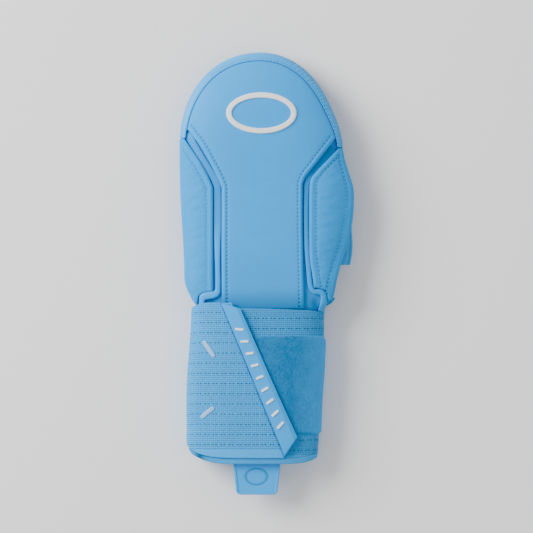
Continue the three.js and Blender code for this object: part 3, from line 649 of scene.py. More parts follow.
def as_sheet(piece, face):
    """Prints the size a piece of cloth was cut to: as wide as its columns are on average and as long as its
    rows."""
    width = float(walked(np.swapaxes(face, 0, 1))[-1].mean()) * MM
    length = float(walked(face)[-1].mean()) * MM
    print(f"{piece.name}: cut to {width * 1000:.1f} x {length * 1000:.0f} mm")


def add_wall(name, node, turns, bulge, gathers, finish=knit):
    """One stretch of the knit wall as a closed body."""
    outer = knit_wall(turns, GUSSET["inset"], bulge, gathers)
    inner = knit_wall(turns, GUSSET["inset"] + GUSSET["thick"], bulge, gathers)
    # Painted shade in the valleys of the gathered folds.
    valley_shade = 0.5 * np.clip(-wall_folds(turns, 1.0), 0, 1) * (gathers > 0.2)
    wall = solid_between(name, outer, inner, uv=surface_uv(outer), fold=valley_shade)
    dress(wall, finish.material, "knit", node)
    as_sheet(wall, outer)


def thumb_bulge(y):
    """The thumb gusset bulges more and more down to the thumb hole."""
    share = 1 - smoothstep(y, HOLE["top"], THUMB_GUSSET["top"])
    return lerp(THUMB_GUSSET["bulge_top"], THUMB_GUSSET["bulge_hole"], share)


def heel_bulge(y):
    """Below the thumb hole the bulge fades out towards the wrist."""
    return HEEL_BULGE * smoothstep(y, WRIST_Y, HOLE["bottom"])


print("the thumb gusset bulges", thumb_bulge(np.array(HOLE["top"])), "mm at the thumb hole")

# %% The three stretches of wall
side_turns = stops(LITTLE_WRIST, 80, 180.0, 110, 0.0, 30, turn_right(THUMB_GUSSET["top"] + GAP))
thumb_turns = stops(turn_right(THUMB_GUSSET["top"]), 60, turn_right(HOLE["top"]))
heel_turns = stops(turn_right(HOLE["bottom"]), 24, THUMB_WRIST)
add_wall("knit_side_wall", "side_gusset", side_turns, lambda y: GUSSET["bulge"] + 0 * y, 0.12)
add_wall("knit_thumb_gusset", "thumb_gusset", thumb_turns, thumb_bulge, 0.6, painted_light_knit)
add_wall("knit_heel_gusset", "wrist_gusset", heel_turns, heel_bulge, 0.3)

# %% Overlocked binding round the palm
BINDING = dict(radius=1.2, inset=1.3, pitch=2.2, ridge=0.14)


def binding_face(sign):
    """Half of a bead that follows the palm's rim, waved where the overlock thread pulls it in."""
    turn = stops(LITTLE_WRIST, 300, 180.0, 420, 0.0, 300, THUMB_WRIST)[:, None]
    v = np.linspace(0, 1, 7)[None, :]
    rim = in_from(turn, PALM["inset"])
    along = walked(rim)
    radius = BINDING["radius"] - BINDING["ridge"] * (1 + np.cos(2 * np.pi * along / BINDING["pitch"]))
    plan = in_from(turn, BINDING["inset"] - radius * np.cos(np.pi * v))
    middle = sole(rim[..., 0], rim[..., 1]) + PALM["thick"] / 2
    return raised(plan, middle + sign * radius * np.sin(np.pi * v))


binding = solid_between("palm_edge_binding", binding_face(1), binding_face(-1), sharp=80)
dress(binding, knit.material, "knit", "palm_binding")

# %% [markdown]
# ## Stitched pads on the back of the hand
#
# Each pad is foam under a skin that is sewn down a few millimetres inside its rim. The rim stands up as a
# soft lip, the seam pulls a groove, and the needle leaves a dark hole between two stitches. A sculpted
# mesh could do this, but the seam has to run at one distance from every edge, so the height is worked out
# from the distance to the edge.

# %% Curves in the plan


def length_of(edge):
    """The length of an edge curve."""
    return float(walked(edge(np.linspace(0, 1, 400))[:, None, :])[-1, 0])


def curve_through(points):
    """A smooth curve through plan points (Catmull-Rom), walked at an even pace from 0 to 1."""
    at = np.array(points, float)
    padded = np.vstack([at[:1], at, at[-1:]])
    k = np.arange(len(at) - 1)[:, None]
    t = np.linspace(0, 1, 60, endpoint=False)[None, :, None]
    a, b, c, d = padded[k], padded[k + 1], padded[k + 2], padded[k + 3]
    fine = b + 0.5 * t * (c - a + t * (2 * a - 5 * b + 4 * c - d + t * (3 * (b - c) + d - a)))
    fine = np.vstack([fine.reshape(-1, 2), at[-1:]])
    share = walked(fine[:, None, :])[:, 0]
    share = share / share[-1]
    return lambda t: np.stack([np.interp(t, share, fine[:, 0]), np.interp(t, share, fine[:, 1])], -1)


def line(a, b):
    """A straight edge between two plan points."""
    return lambda t: lerp(np.array(a, float), np.array(b, float), np.asarray(t)[..., None])


CENTRE_LEFT = [(-35.8, -28), (-36, 20), (-36, 60), (-37, 71), (-46.6, 90), (-53.6, 102)]
CENTRE_RIGHT = [(29.8, -28), (28.8, 20), (28.6, 62), (30, 74.5), (39.4, 87.5), (48, 98.5)]
LITTLE_INNER = [(-42.8, -14.6), (-42.8, 20), (-42.8, 62), (-43.8, 71), (-51, 85.5), (-58.6, 97),
                (-66, 107.8)]
THUMB_INNER = [(37.6, -11.4), (36, 0), (34, 16), (33.8, 60), (34.8, 74), (40, 81.5), (50, 92),
               (57.5, 100)]
GUARD = dict(thick=4.2, inner_foot=2.9, foot=0.9, lip=1.4, overhang=0.2, end=4.2, growth=2.8, start=172.6,
             finish=0.6)


def guard_width(turn):
    """The guard is wider over the tips than at its ends."""
    return GUARD["end"] + GUARD["growth"] * np.abs(np.sin(np.radians(turn))) ** 0.7


print(f"the centre pad's left edge is {length_of(curve_through(CENTRE_LEFT)):.0f} mm long")

# %% Rings inside an outline
STITCH_PITCH, PAD_FOOT = 3.1, 1.9
SEAM = dict(groove_width=0.75, groove_depth=0.25, hole_width=0.7, hole_depth=0.7, lip_width=4.4, lip=0.3)
RIM_RINGS = np.array([0, 0.12, 0.35, 0.7, 1.1, 1.6, 2.1, 2.6, 3.0, 3.35, 3.7, 4.05, 4.4, 4.9, 5.6])
RAY_SHARES = np.linspace(0, 1, 72)


def nearest_distance(points, outline):
    """Distance of each plan point from the nearest point of an outline, in slices to spare memory."""
    flat = points.reshape(-1, 2)
    slices = [np.hypot(*(part[:, None, :] - outline[None, :, :]).transpose(2, 0, 1)).min(1)
              for part in np.array_split(flat, max(len(flat) // 4000, 1))]
    return np.concatenate(slices).reshape(points.shape[:-1])


def blended(values, reach):
    """Values along a closed line, each averaged with its neighbours within reach steps."""
    shifts = np.arange(-reach, reach + 1)
    weights = np.cos(shifts / (reach + 1) * np.pi / 2) ** 2
    return sum(w * np.roll(values, k) for k, w in zip(shifts, weights)) / weights.sum()


print(len(RIM_RINGS), "rings lie within", RIM_RINGS[-1], "mm of a pad's rim")

# %% A pad's rings, seams and skin


class Pad:
    """A pad inside four plan edges: left and right run up the hand, bottom and top across. Rings run
    round it at true distances from the outline and close in on a spine. thick gives its thickness at a
    height y, and rounding is the width of its rim's roll. seams gives, for each sewn side, the inset of
    its seam at the side's start and at its end."""

    def __init__(self, edges, spine, thick, rounding, seams, inner_rings, step=0.5):
        """Walks the outline in steps, sends a ray from each step to the spine, and finds the shares of
        the rays at which the rings lie at their depths."""
        left, right, bottom, top = edges
        loop = [("bottom", bottom, 1), ("right", right, 1), ("top", top, -1), ("left", left, -1)]
        counts = [int(length_of(edge) / step) for _, edge, _ in loop]
        shares = [np.arange(count) / count for count in counts]
        outline = [edge(share if way > 0 else 1 - share) for (_, edge, way), share in zip(loop, shares)]
        sewn = [np.full(count, float(side in seams)) for (side, _, _), count in zip(loop, counts)]
        self.outline, self.thick, self.rounding = np.concatenate(outline), thick, rounding
        self.sewn = blended(np.concatenate(sewn), 5)[:, None]
        start, end = np.array(spine[0], float), np.array(spine[1], float)
        spine_length = np.linalg.norm(end - start)
        along = ((self.outline - start) @ (end - start)) / spine_length**2
        knots = int(spine_length / (step * 2.4))
        along = np.round(np.clip(along, 0, 1) * knots) / knots
        middle = start + along[:, None] * (end - start)
        rays = lerp(self.outline[:, None, :], middle[:, None, :], RAY_SHARES[None, :, None])
        depth = np.maximum.accumulate(nearest_distance(rays, self.outline), axis=1)
        depth[:, 0] = 0
        room = np.minimum(1, 0.85 * depth[:, -1] / RIM_RINGS[-1])[:, None]
        rim = self.share_at(depth, RIM_RINGS[None, :] * room)
        inner = lerp(rim[:, -1:], 1.0, np.linspace(0, 1, inner_rings + 1)[None, 1:])
        shares = np.concatenate([rim, inner], 1)
        self.depth = self.depth_at(depth, shares)
        self.plan = lerp(self.outline[:, None, :], middle[:, None, :], shares[..., None])
        self.seams = self.seam_paths(dict(left=left, right=right, bottom=bottom, top=top), seams)

    def share_at(self, depth, wanted):
        """The share of each ray at which the wanted depths are reached."""
        count = (depth[:, None, :] < wanted[:, :, None]).sum(-1)
        k = np.clip(count, 1, depth.shape[1] - 1)
        low, high = np.take_along_axis(depth, k - 1, 1), np.take_along_axis(depth, k, 1)
        between = (wanted - low) / np.maximum(high - low, 1e-6)
        return np.clip(lerp(RAY_SHARES[k - 1], RAY_SHARES[k], between), 0, 1)

    def depth_at(self, depth, shares):
        """The depth at given shares of each ray."""
        place = shares * (len(RAY_SHARES) - 1)
        k = np.clip(place.astype(int), 0, len(RAY_SHARES) - 2)
        low, high = np.take_along_axis(depth, k, 1), np.take_along_axis(depth, k + 1, 1)
        return lerp(low, high, place - k)

    def seam_paths(self, edges, seams):
        """The plan path of each seam: its side's edge moved inwards, less what would cross another
        seam or leave the pad."""
        paths, fine = {}, np.linspace(0, 1, 1200)
        inward = dict(left=1, right=-1, bottom=-1, top=1)
        for side, (first, last) in seams.items():
            at = edges[side](fine)
            run = np.gradient(at, axis=0)
            run /= np.linalg.norm(run, axis=1, keepdims=True)
            square = np.stack([run[:, 1], -run[:, 0]], -1) * inward[side]
            paths[side] = at + square * lerp(first, last, smoothstep(fine, 0.5, 1.0))[:, None]
        for side, path in paths.items():
            keep = nearest_distance(path, self.outline) > 1.6
            for other, (first, last) in seams.items():
                if other != side:
                    keep &= nearest_distance(path, edges[other](fine)) > min(first, last) - 0.3
            paths[side] = path[keep]
        return paths

    def needle_holes(self, path):
        """Points along a seam, one stitch apart."""
        steps = walked(path[:, None, :])[:, 0]
        marks = np.arange(int(steps[-1] / STITCH_PITCH) + 1) * STITCH_PITCH
        return np.stack([np.interp(marks, steps, path[:, 0]), np.interp(marks, steps, path[:, 1])], -1)

    def skin(self, swell, faint, shade):
        """Outer and inner faces from the spine out to the rim, and the painted shade on the outer one. A
        shallow groove runs along the seams, with a needle hole between two stitches; groove, holes and the
        rim's roll are painted darker as painted shade. swell lifts the skin, faint says how strongly the
        holes are painted dark at a place, and shade is the strap's painted shadow there."""
        x, y = self.plan[..., 0], self.plan[..., 1]
        lines = np.concatenate(list(self.seams.values()))
        holes = np.concatenate([self.needle_holes(path) for path in self.seams.values()])
        groove = np.exp(-((nearest_distance(self.plan, lines) / SEAM["groove_width"]) ** 2))
        hole = faint(x, y) * np.exp(-((nearest_distance(self.plan, holes) / SEAM["hole_width"]) ** 2))
        rim = np.sqrt(1 - (1 - np.clip(self.depth / self.rounding, 0, 1)) ** 2)
        lip = SEAM["lip"] * self.sewn * np.sin(np.pi * np.clip(self.depth / SEAM["lip_width"], 0, 1)) ** 2
        base = crown(x, y) + PAD_GAP
        rise = lerp(PAD_FOOT, self.thick(y) - SEAM["lip"], rim) + lip
        rise = rise - SEAM["groove_depth"] * groove - SEAM["hole_depth"] * hole
        # Painted shade in the groove, the needle holes and the rim's roll, plus the strap's painted shadow.
        dark = np.maximum(0.15 * groove + 0.85 * hole, 0.1 * np.exp(-self.depth / 0.45)) + shade(x, y)
        outer, inner = raised(self.plan, base + rise + swell(x, y)), raised(self.plan, base)
        return outer[:, ::-1], inner[:, ::-1], dark[:, ::-1]


# %% Edges of the three pads


def tip_edge(start, end):
    """The edge of the centre pad that lies against the guard."""

    def edge(u):
        """Points from 0 at the little finger's end to 1 at the thumb's."""
        turn = lerp(start, end, np.asarray(u, float))
        return in_from(turn, guard_width(turn) + 0.15)

    return edge


def outline_edge(turn_at, start, end, inset=0.2):
    """The edge of a side pad that follows the hand's outline."""
    return lambda v: in_from(turn_at(lerp(start, end, np.asarray(v, float))), inset)


def corner(edge, share):
    """One end of an edge as a plain pair."""
    return edge(np.array(float(share))).tolist()


def centre_thick(y):
    """The centre pad thins out where the strap presses on it."""
    return lerp(2.2, 4.0, smoothstep(y, -30, 10))


def side_thick(y):
    """The side pads are equally thick all over."""
    return 3.4 + 0 * y


centre_top = tip_edge(165.8, 7.4)
centre_edges = (
    curve_through([*CENTRE_LEFT, corner(centre_top, 0)]),
    curve_through([*CENTRE_RIGHT, corner(centre_top, 1)]),
    line(CENTRE_LEFT[0], CENTRE_RIGHT[0]),
    centre_top,
)
little_outline = outline_edge(turn_left, -24, 108)
thumb_outline = outline_edge(turn_right, -22, 100.3)
little_edges = (
    little_outline,
    curve_through(LITTLE_INNER),
    curve_through([corner(little_outline, 0), (-55.6, -23.6), (-54.4, -18.6), (-50.4, -15.6),
                   LITTLE_INNER[0]]),
    line(corner(little_outline, 1), LITTLE_INNER[-1]),
)
thumb_edges = (
    curve_through(THUMB_INNER),
    thumb_outline,
    curve_through([THUMB_INNER[0], (43, -12.4), (47.6, -14.6), (48.8, -20.6), corner(thumb_outline, 0)]),
    line(THUMB_INNER[-1], corner(thumb_outline, 1)),
)
print("the centre pad meets the guard at", np.round(corner(centre_top, 0), 1))

# %% The three pads in plan
centre_pad = Pad(centre_edges, ((-3.2, 0), (-4.5, 104)), centre_thick, 2.4,
                 dict(left=(4.4, 4.6), right=(3.5, 4.2)), 16)
little_pad = Pad(little_edges, ((-54, -6), (-59, 80)), side_thick, 2.2, dict(right=(5.3, 6.0)), 8)
thumb_pad = Pad(thumb_edges, ((46, 0), (52.5, 79)), side_thick, 2.2,
                dict(left=(5.8, 4.3), right=(6.6, 4.0)), 8)
PADS = [
    ("centre_pad", "centre_panel", centre_pad, satin, "pad"),
    ("little_finger_pad", "side_panel_left", little_pad, panel_cloth, "side_pad"),
    ("thumb_side_pad", "side_panel_right", thumb_pad, panel_cloth, "side_pad"),
]
for name, _, pad, _, _ in PADS:
    print(name, "is a grid of", pad.plan.shape[:2], "points with", len(pad.seams), "seams")

# %% [markdown]
# The foam pushes the skin up between its seams. A smooth bulge could be drawn by hand, but cloth blown up
# by pressure finds the right one: stiff at the seams, full in the middle. The sheet is simulated at ten
# times its size, where the cloth solver works best, and only its rise is used.

# %% A sheet blown up between its seams
SHEET_CELL, SHEET_SCALE, FRAMES = 2.6, 10, 20
PINNED = dict(rim=4.2, seam=1.6)


def within(plan, outline):
    """Which plan points lie inside a closed outline: those whose ray to the right crosses it oddly."""
    ax, ay = outline.T
    bx, by = np.roll(outline, -1, axis=0).T
    x, y = plan[..., :1], plan[..., 1:]
    spans = (ay > y) != (by > y)
    rise = np.where(by == ay, 1, by - ay)
    return (spans & (x < ax + (y - ay) * (bx - ax) / rise)).sum(-1) % 2 == 1


def blown_up(points, faces, held):
    """Heights of a flat sheet after pressure from below, with the held points fixed. The cloth may grow by
    a fiftieth, and nothing weighs it down."""
    mesh = bpy.data.meshes.new("test_sheet")
    mesh.from_pydata((points * MM * SHEET_SCALE).tolist(), [], faces.tolist())
    sheet = bpy.data.objects.new("test_sheet", mesh)
    bpy.context.scene.collection.objects.link(sheet)
    sheet.vertex_groups.new(name="held").add(np.flatnonzero(held).tolist(), 1.0, "REPLACE")
    cloth = sheet.modifiers.new("cloth", "CLOTH")
    cloth.settings.vertex_group_mass = "held"
    cloth.settings.shrink_min = -0.02
    cloth.settings.use_pressure = True
    cloth.settings.uniform_pressure_force = 4
    cloth.settings.effector_weights.gravity = 0
    cloth.point_cache.frame_start, cloth.point_cache.frame_end = 1, FRAMES
    for moment in range(1, FRAMES + 1):
        bpy.context.scene.frame_set(moment)
    settled = sheet.evaluated_get(bpy.context.evaluated_depsgraph_get()).data
    place = np.empty(3 * len(settled.vertices))
    settled.vertices.foreach_get("co", place)
    bpy.data.objects.remove(sheet)
    bpy.context.scene.frame_set(1)
    return place.reshape(-1, 3)[:, 2]


print("its cells are", SHEET_CELL, "mm wide")

# %% How far each pad swells


def swelling(pad, most):
    """A function that gives a pad's swelling at a plan point, at most that many millimetres, read
    from the blown-up sheet by weighing the four grid points round it."""
    low, high = pad.outline.min(0), pad.outline.max(0) + SHEET_CELL
    xs, ys = np.arange(low[0], high[0], SHEET_CELL), np.arange(low[1], high[1], SHEET_CELL)
    rise = np.zeros((len(xs), len(ys)))
    plan = np.stack(np.meshgrid(xs, ys, indexing="ij"), -1)
    inside = within(plan, pad.outline)
    cells = quads(np.arange(rise.size).reshape(rise.shape))
    used, faces = np.unique(cells[inside.ravel()[cells].all(1)], return_inverse=True)
    points = plan.reshape(-1, 2)[used]
    sewn = np.concatenate([pad.outline, *pad.seams.values()])
    held = nearest_distance(points, pad.outline) < PINNED["rim"]
    held |= nearest_distance(points, sewn) < PINNED["seam"]
    lifted = blown_up(np.hstack([points, np.zeros((len(points), 1))]), faces.reshape(-1, 4), held)
    rise.ravel()[used] = np.clip(lifted / lifted.max(), 0, 1) * most
    print(f"the sheet rose {lifted.max() / MM / SHEET_SCALE:.1f} mm, kept {most} mm of it")

    def at(x, y):
        """The swelling at plan points."""
        r = np.clip((x - xs[0]) / SHEET_CELL, 0, len(xs) - 1.001)
        c = np.clip((y - ys[0]) / SHEET_CELL, 0, len(ys) - 1.001)
        i, j = r.astype(int), c.astype(int)
        near, far = lerp(rise[i, j], rise[i, j + 1], c - j), lerp(rise[i + 1, j], rise[i + 1, j + 1], c - j)
        return lerp(near, far, r - i)

    return at


centre_swell = swelling(centre_pad, 0.8)
SWELLS = [centre_swell, swelling(little_pad, 1.0), swelling(thumb_pad, 1.0)]
# How clearly the needle holes of each pad show, sunk and painted dark, and the strap's painted shadow that
# darkens its skin towards the strap
FAINT = [
    lambda x, y: 0.6 + 0 * x,
    lambda x, y: 0.4 * smoothstep(y, -2, 16),
    lambda x, y: 0.5 + 0 * x,
]
STRAP_SHADOW = [
    lambda x, y: 0.75 * smoothstep(-y, 8, 30),
    lambda x, y: 0 * y,
    lambda x, y: 0.15 * smoothstep(-y, 0, 20),
]

# %% The pads' bodies
for (name, node, pad, finish, slot), *ways in zip(PADS, SWELLS, FAINT, STRAP_SHADOW):
    outer, inner, dark = pad.skin(*ways)
    columns = outer.shape[1] - 1
    under = max(step for step in range(1, 8) if columns % step == 0)
    piece = solid_between(name, outer, inner, (1, under), tube=True, sewn=True, sharp=60, fold=dark)
    dress(piece, finish.material, slot, node)

# %% The fingertip guard
GUARD_TURNS = stops(GUARD["start"], 420, GUARD["finish"])
GUARD_STOPS = np.concatenate([[0, 0.02, 0.06, 0.12], np.linspace(0.2, 0.9, 17), [0.95, 0.98, 1]])


def guard_faces():
    """The guard's top, a hump from the inner edge out over the rim, and its underside with a lip that
    hangs over the plate's edge. The thumb's half is pebbled, more and more towards its end: the pebbles
    are a product of two bent waves, and a dotted seam and border run beside them."""
    turn, v = GUARD_TURNS[:, None], GUARD_STOPS[None, :]
    width = guard_width(turn)
    top = in_from(turn, width * (1 - v))
    along = walked(top[:, :1])
    hump = (4 * v * (1 - v)) ** 0.4
    rough = smoothstep(-turn, -108, -55)
    pebbles = (np.sin(2 * np.pi * along / 2.7 + 7 * v + 2 * np.sin(along / 6))
               * np.sin(2 * np.pi * v * 2.2 + along / 3.1 + np.sin(along / 2.2)))
    dots = 0.5 + 0.5 * np.cos(2 * np.pi * along / 2.6)
    seam = np.exp(-(((v - 0.22) * width / 0.5) ** 2)) * dots
    border = np.exp(-(((v - 0.86) * width / 0.45) ** 2)) * dots * rough
    foot = lerp(GUARD["inner_foot"], GUARD["foot"], v)
    height = crown(top[..., 0], top[..., 1]) + GAP + lerp(foot, GUARD["thick"], hump)
    height = height + rough * (0.26 * pebbles * np.sin(np.pi * v) - 0.3 * seam - 0.25 * border)
    under = in_from(turn, lerp(width, GUARD["overhang"], v))
    low = crown(under[..., 0], under[..., 1]) + GAP - GUARD["lip"] * smoothstep(v, 0.9, 1)
    # Painted shade in the dotted seam and border and in the pebbles' valleys; the pebbled half is also a
    # little darker all over.
    dark = 0.55 * rough * np.maximum(seam, border) + rough * (0.12 + 0.3 * np.clip(-pebbles, 0, 1))
    return raised(top, height), raised(under, low), dark


guard_top, guard_under, guard_dark = guard_faces()
guard = solid_between("fingertip_guard_skin", guard_top, guard_under, uv=surface_uv(guard_top),
                      fold=guard_dark, sharp=50)
dress(guard, guard_skin.material, "pad", "fingertip_guard")

# %% [markdown]
# ## Stitches
#
# Threads lie between the needle holes. Instancing one stitch along a curve would do, but joined meshes
# from arrays keep each seam as one light piece, and every stitch can follow the skin under it.

# %% Threads along a seam
STITCH = dict(length=2.0, width=0.6, rise=0.22)


def stitch_row(name, path):
    """Arched threads along a path on the skin. Each is a small spindle: its radius and its height fall
    to nothing at both ends, where the thread dives into the needle holes."""
    steps = walked(path[:, None, :2])[:, 0]
    middles = (np.arange(int(steps[-1] / STITCH_PITCH)) + 0.5) * STITCH_PITCH
    along, around = np.linspace(-1, 1, 8), np.radians(np.arange(0, 360, 60))
    walk = middles[:, None] + along[None, :] * STITCH["length"] / 2
    at = np.stack([np.interp(walk, steps, column) for column in path.T], -1)
    ahead = np.stack([np.interp(walk + 0.05, steps, column) for column in path.T], -1)
    run = (ahead - at)[..., :2]
    run /= np.maximum(np.linalg.norm(run, axis=-1, keepdims=True), 1e-9)
    size = np.sqrt(np.maximum(1 - along**4, 0))[None, :, None]
    side = STITCH["width"] / 2 * size * np.cos(around)
    rise = STITCH["rise"] * (1 - along[None, :, None] ** 2) + 0.22 * size * np.sin(around)
    points = np.stack([at[..., :1] - run[..., 1:] * side, at[..., 1:2] + run[..., :1] * side,
                       at[..., 2:] + rise], -1)
    per = len(along) * len(around)
    ring = np.arange(per).reshape(len(along), len(around))
    one = quads(np.hstack([ring, ring[:, :1]]))
    faces = (one[None] + per * np.arange(len(middles))[:, None, None]).reshape(-1, 4)
    return tidy_shape(put_mesh(name, points.reshape(-1, 3), faces.tolist()), 80)


for name, _, pad, _, slot in PADS:
    for side, path in pad.seams.items():
        height = crown(path[:, 0], path[:, 1]) + PAD_GAP + pad.thick(path[:, 1]) - 0.65
        row = stitch_row(f"{name}_stitches_{side}", raised(path, height))
        dress(row, thread.material, slot)

# %% [markdown]
# ## Glossy trims
#
# Two glossy bands lie in the channels and end in a hook above the strap. Each is a low arch carried along
# a plan curve: flat, dull and darkened by a painted shade up the hand, raised and smooth further down, and
# broad at the hook.

# %% The trims
TRIM_FOOT = 0.8
LITTLE_TRIM = [(-63.4, 111.6), (-56.3, 98.9), (-48, 85.3), (-40.6, 72.4), (-39.4, 62), (-39.3, 20),
               (-38.9, -10), (-40.4, -16), (-46, -17.6), (-50.4, -18.6), (-51.6, -21.6), (-51.8, -25.4)]
THUMB_TRIM = [(53.2, 99.6), (44.7, 89.7), (37.4, 80.6), (32.4, 73.6), (31.4, 62), (31.8, 22), (33.4, 2),
              (34.8, -9.6), (37.6, -14.4), (43.0, -15.1), (45.4, -18), (45.2, -24), (43.5, -30.4)]


def add_trim(name, node, route, half_width, rise, grain, dull_and_shaded):
    """A band with an arched section along a route. Half its width, its height, its ribs, and its dullness
    together with a painted shade all vary with the share of the way, so that it can lie flat, ribbed and
    shaded and then stand up smooth."""
    curve = curve_through(route)
    u = np.linspace(0, 1, 420)[:, None]
    v = np.sin(np.linspace(-np.pi / 2, np.pi / 2, 19))[None, :]
    middle = curve(u[:, 0])
    run = np.gradient(middle, axis=0)
    run /= np.linalg.norm(run, axis=1, keepdims=True)
    out = np.stack([run[:, 1], -run[:, 0]], -1)
    plan = middle[:, None, :] + out[:, None, :] * (v * half_width(u))[..., None]
    along = walked(middle[:, None, :])
    ribs = 0.5 - 0.5 * np.cos(2 * np.pi * (along / 1.5 + 0.35 * v))
    arch = lerp(TRIM_FOOT, rise(u), (1 - np.abs(v) ** 3) ** 0.5) - 0.22 * grain(u) * ribs
    floor = crown(plan[..., 0], plan[..., 1]) + PAD_GAP
    top, under = raised(plan, floor + arch), raised(plan, floor)
    # Painted shade: where the band lies flat in its channel, and between its ribs.
    band = solid_between(name, top, under, uv=surface_uv(top), sharp=70, fold=dull_and_shaded(u) + 0.3 * grain(u) * ribs)
    return dress(band, gloss_trim.material, "trim", node)


def changing(*marks):
    """A value that changes softly along the way: the first number, then steps of amount, from and to."""
    first, *steps = marks
    return lambda u: first + 0 * u + sum(amount * smoothstep(u, start, end) for amount, start, end in steps)


add_trim("little_finger_trim", "channel_trim_left", LITTLE_TRIM,
         half_width=changing(2.85, (-0.7, 0.5, 0.75), (1.1, 0.85, 0.91), (-0.9, 0.95, 0.985)),
         rise=changing(1.25, (1.35, 0.5, 0.78)),
         grain=changing(1, (-1, 0.25, 0.6)),
         dull_and_shaded=changing(0.38, (-0.36, 0.45, 0.7)))
add_trim("thumb_side_trim", "channel_trim_right", THUMB_TRIM,
         half_width=changing(2.9, (-0.85, 0.17, 0.24), (0.6, 0.84, 0.9)),
         rise=changing(0.85, (1.75, 0.16, 0.5)),
         grain=changing(0),
         dull_and_shaded=changing(1, (-0.4, 0.17, 0.24), (-0.3, 0.4, 0.65)))

# %% [markdown]
# ## Cuff and hem
#
# The cuff is a soft knit tube round the wrist, hemmed at its mouth. A tube is a section carried round
# turn by turn, with its mouth's corners cut back.

# %% The knit tube
MOUTH_Y, LITTLE_CUT, THUMB_CUT = -151.6, 7, 4.2
HEM = dict(tall=3.6, past=0.4, crease_x=-53.5, crease_width=3.6)
STRAP_THICK = 1.5


def mouth_y(turn):
    """The mouth's edge lies further up at both sides of the wrist."""
    way = np.cos(np.radians(turn))
    return MOUTH_Y + np.where(way < 0, LITTLE_CUT, THUMB_CUT) * np.abs(way) ** 6


WRIST_TURNS = np.linspace(180, -180, 240, endpoint=False)[:, None]


def cuff_face(lift, share):
    """The cuff's face at a lift, from the hand to the mouth, with small sags between the two."""
    y = lerp(WRIST_Y - GAP, mouth_y(WRIST_TURNS), share[None, :])
    sag = 0.15 * np.sin(y / 5 + np.radians(3 * WRIST_TURNS)) * np.sin(np.pi * share[None, :])
    return wrist_point(WRIST_TURNS, y, lift + sag - 0.15)


def all_round(face):
    """A tube's face with its first row once more at the end, to measure its whole girth."""
    return np.concatenate([face, face[:1]])


cuff_share = np.linspace(0, 1, 81)
cuff_outer = cuff_face(0, cuff_share)
cuff = solid_between("knit_cuff", cuff_outer, cuff_face(-WRIST["wall"], cuff_share), tube=True,
                     uv=surface_uv(cuff_outer))
dress(cuff, knit.material, "knit", "wrist_cuff")
as_sheet(cuff, all_round(cuff_outer))


# %% The rolled hem


def hem_face(lift, share):
    """A soft rolled band round the mouth, fullest in its middle."""
    y = lerp(mouth_y(WRIST_TURNS) + HEM["tall"] + 0.7, mouth_y(WRIST_TURNS) - HEM["past"], share[None, :])
    swell = lift * (0.85 + 0.3 * (1 - (2 * share[None, :] - 1) ** 4) ** 0.5) + GAP
    return wrist_point(WRIST_TURNS, y, swell)


hem_share = (1 - np.cos(np.linspace(0, np.pi, 13))) / 2
hem_outer = hem_face(STRAP_THICK, hem_share)
# Painted shade of a crease across the top of the hem near the little finger's side; the hem's shape stays
# smooth there.
crease = np.exp(-(((hem_outer[..., 0] - HEM["crease_x"]) / HEM["crease_width"]) ** 2))
crease_shade = 0.9 * crease * (hem_outer[..., 2] > WRIST["middle"])
hem = solid_between("rolled_hem", hem_outer, hem_face(0.0, hem_share), tube=True, uv=surface_uv(hem_outer),
                    fold=crease_shade, sharp=80)
dress(hem, painted_light_knit.material, "knit", "cuff_hem")
as_sheet(hem, all_round(hem_outer))

# %% [markdown]
# ## The elastic strap
#
# One wide band of ribbed elastic goes once round the wrist and laps over its own start, where a moulded
# strip ends it on a slant. The mesh gives its way, its thickness and its soft edges. The ribs and the rows
# of paired pin holes are finer than the mesh can be, so the finish draws them on the strap's own map.

# %% The strap's way round the wrist
LAYER = STRAP_THICK + GAP
STRAP = dict(start=135.0, top=-27.8, outer_top=-23.4, above_hem=0.8, fold_cut=1.6, end_share=0.62)
STRIP = dict(top_left=(-35.8, -23.2), top_right=(-21, -27.8), bottom_right=(23.4, -130.6),
             tip=(13.8, -145.4), thick=2.2, foot=1.1)
SLANT_FROM, LAST_TURN = -213.75, -281.25


def strap_lift(turn):
    """The strap climbs a layer where it comes back over its own start."""
    return GAP + LAYER * smoothstep(-turn, 183, 216)


def strip_left_x(y):
    """Where the end strip's straight left edge lies at a height."""
    (ax, ay), (tx, ty) = STRIP["top_left"], STRIP["tip"]
    return lerp(ax, tx, (ay - y) / (ay - ty))


def strap_end_x(y):
    """Where the strap's slanted end lies at a height: hidden under the end strip, a share of the way
    across it."""
    (bx, by), (cx, cy), (tx, ty) = STRIP["top_right"], STRIP["bottom_right"], STRIP["tip"]
    near = strip_left_x(y)
    far = np.minimum(lerp(bx, cx, (by - y) / (by - cy)), lerp(cx, tx, (cy - y) / (cy - ty)))
    return np.maximum(lerp(near, far, STRAP["end_share"]), near - 1)


def strap_point(turn, v, lift):
    """A point of the strap. v runs from its upper edge to its lower one, and past SLANT_FROM the turns
    spread out to meet the slanted end."""
    over_thumb = 3 * np.exp(-((turn / 60) ** 2))
    top = lerp(STRAP["top"] - over_thumb, STRAP["outer_top"], smoothstep(-turn, 180, 232))
    fold = STRAP["fold_cut"] * np.exp(-(((turn + 180) / 40) ** 2))
    bottom = mouth_y(turn) + HEM["tall"] + STRAP["above_hem"] + fold
    y = lerp(top, bottom, v)
    end = turn_over(strap_end_x(y), y) - 360
    slanted = lerp(SLANT_FROM, end, (turn - SLANT_FROM) / (LAST_TURN - SLANT_FROM))
    at = np.where(turn > SLANT_FROM, turn, slanted)
    return wrist_point(at, y, strap_lift(at) + lift)


print("a second turn lies", LAYER, "mm above the first")

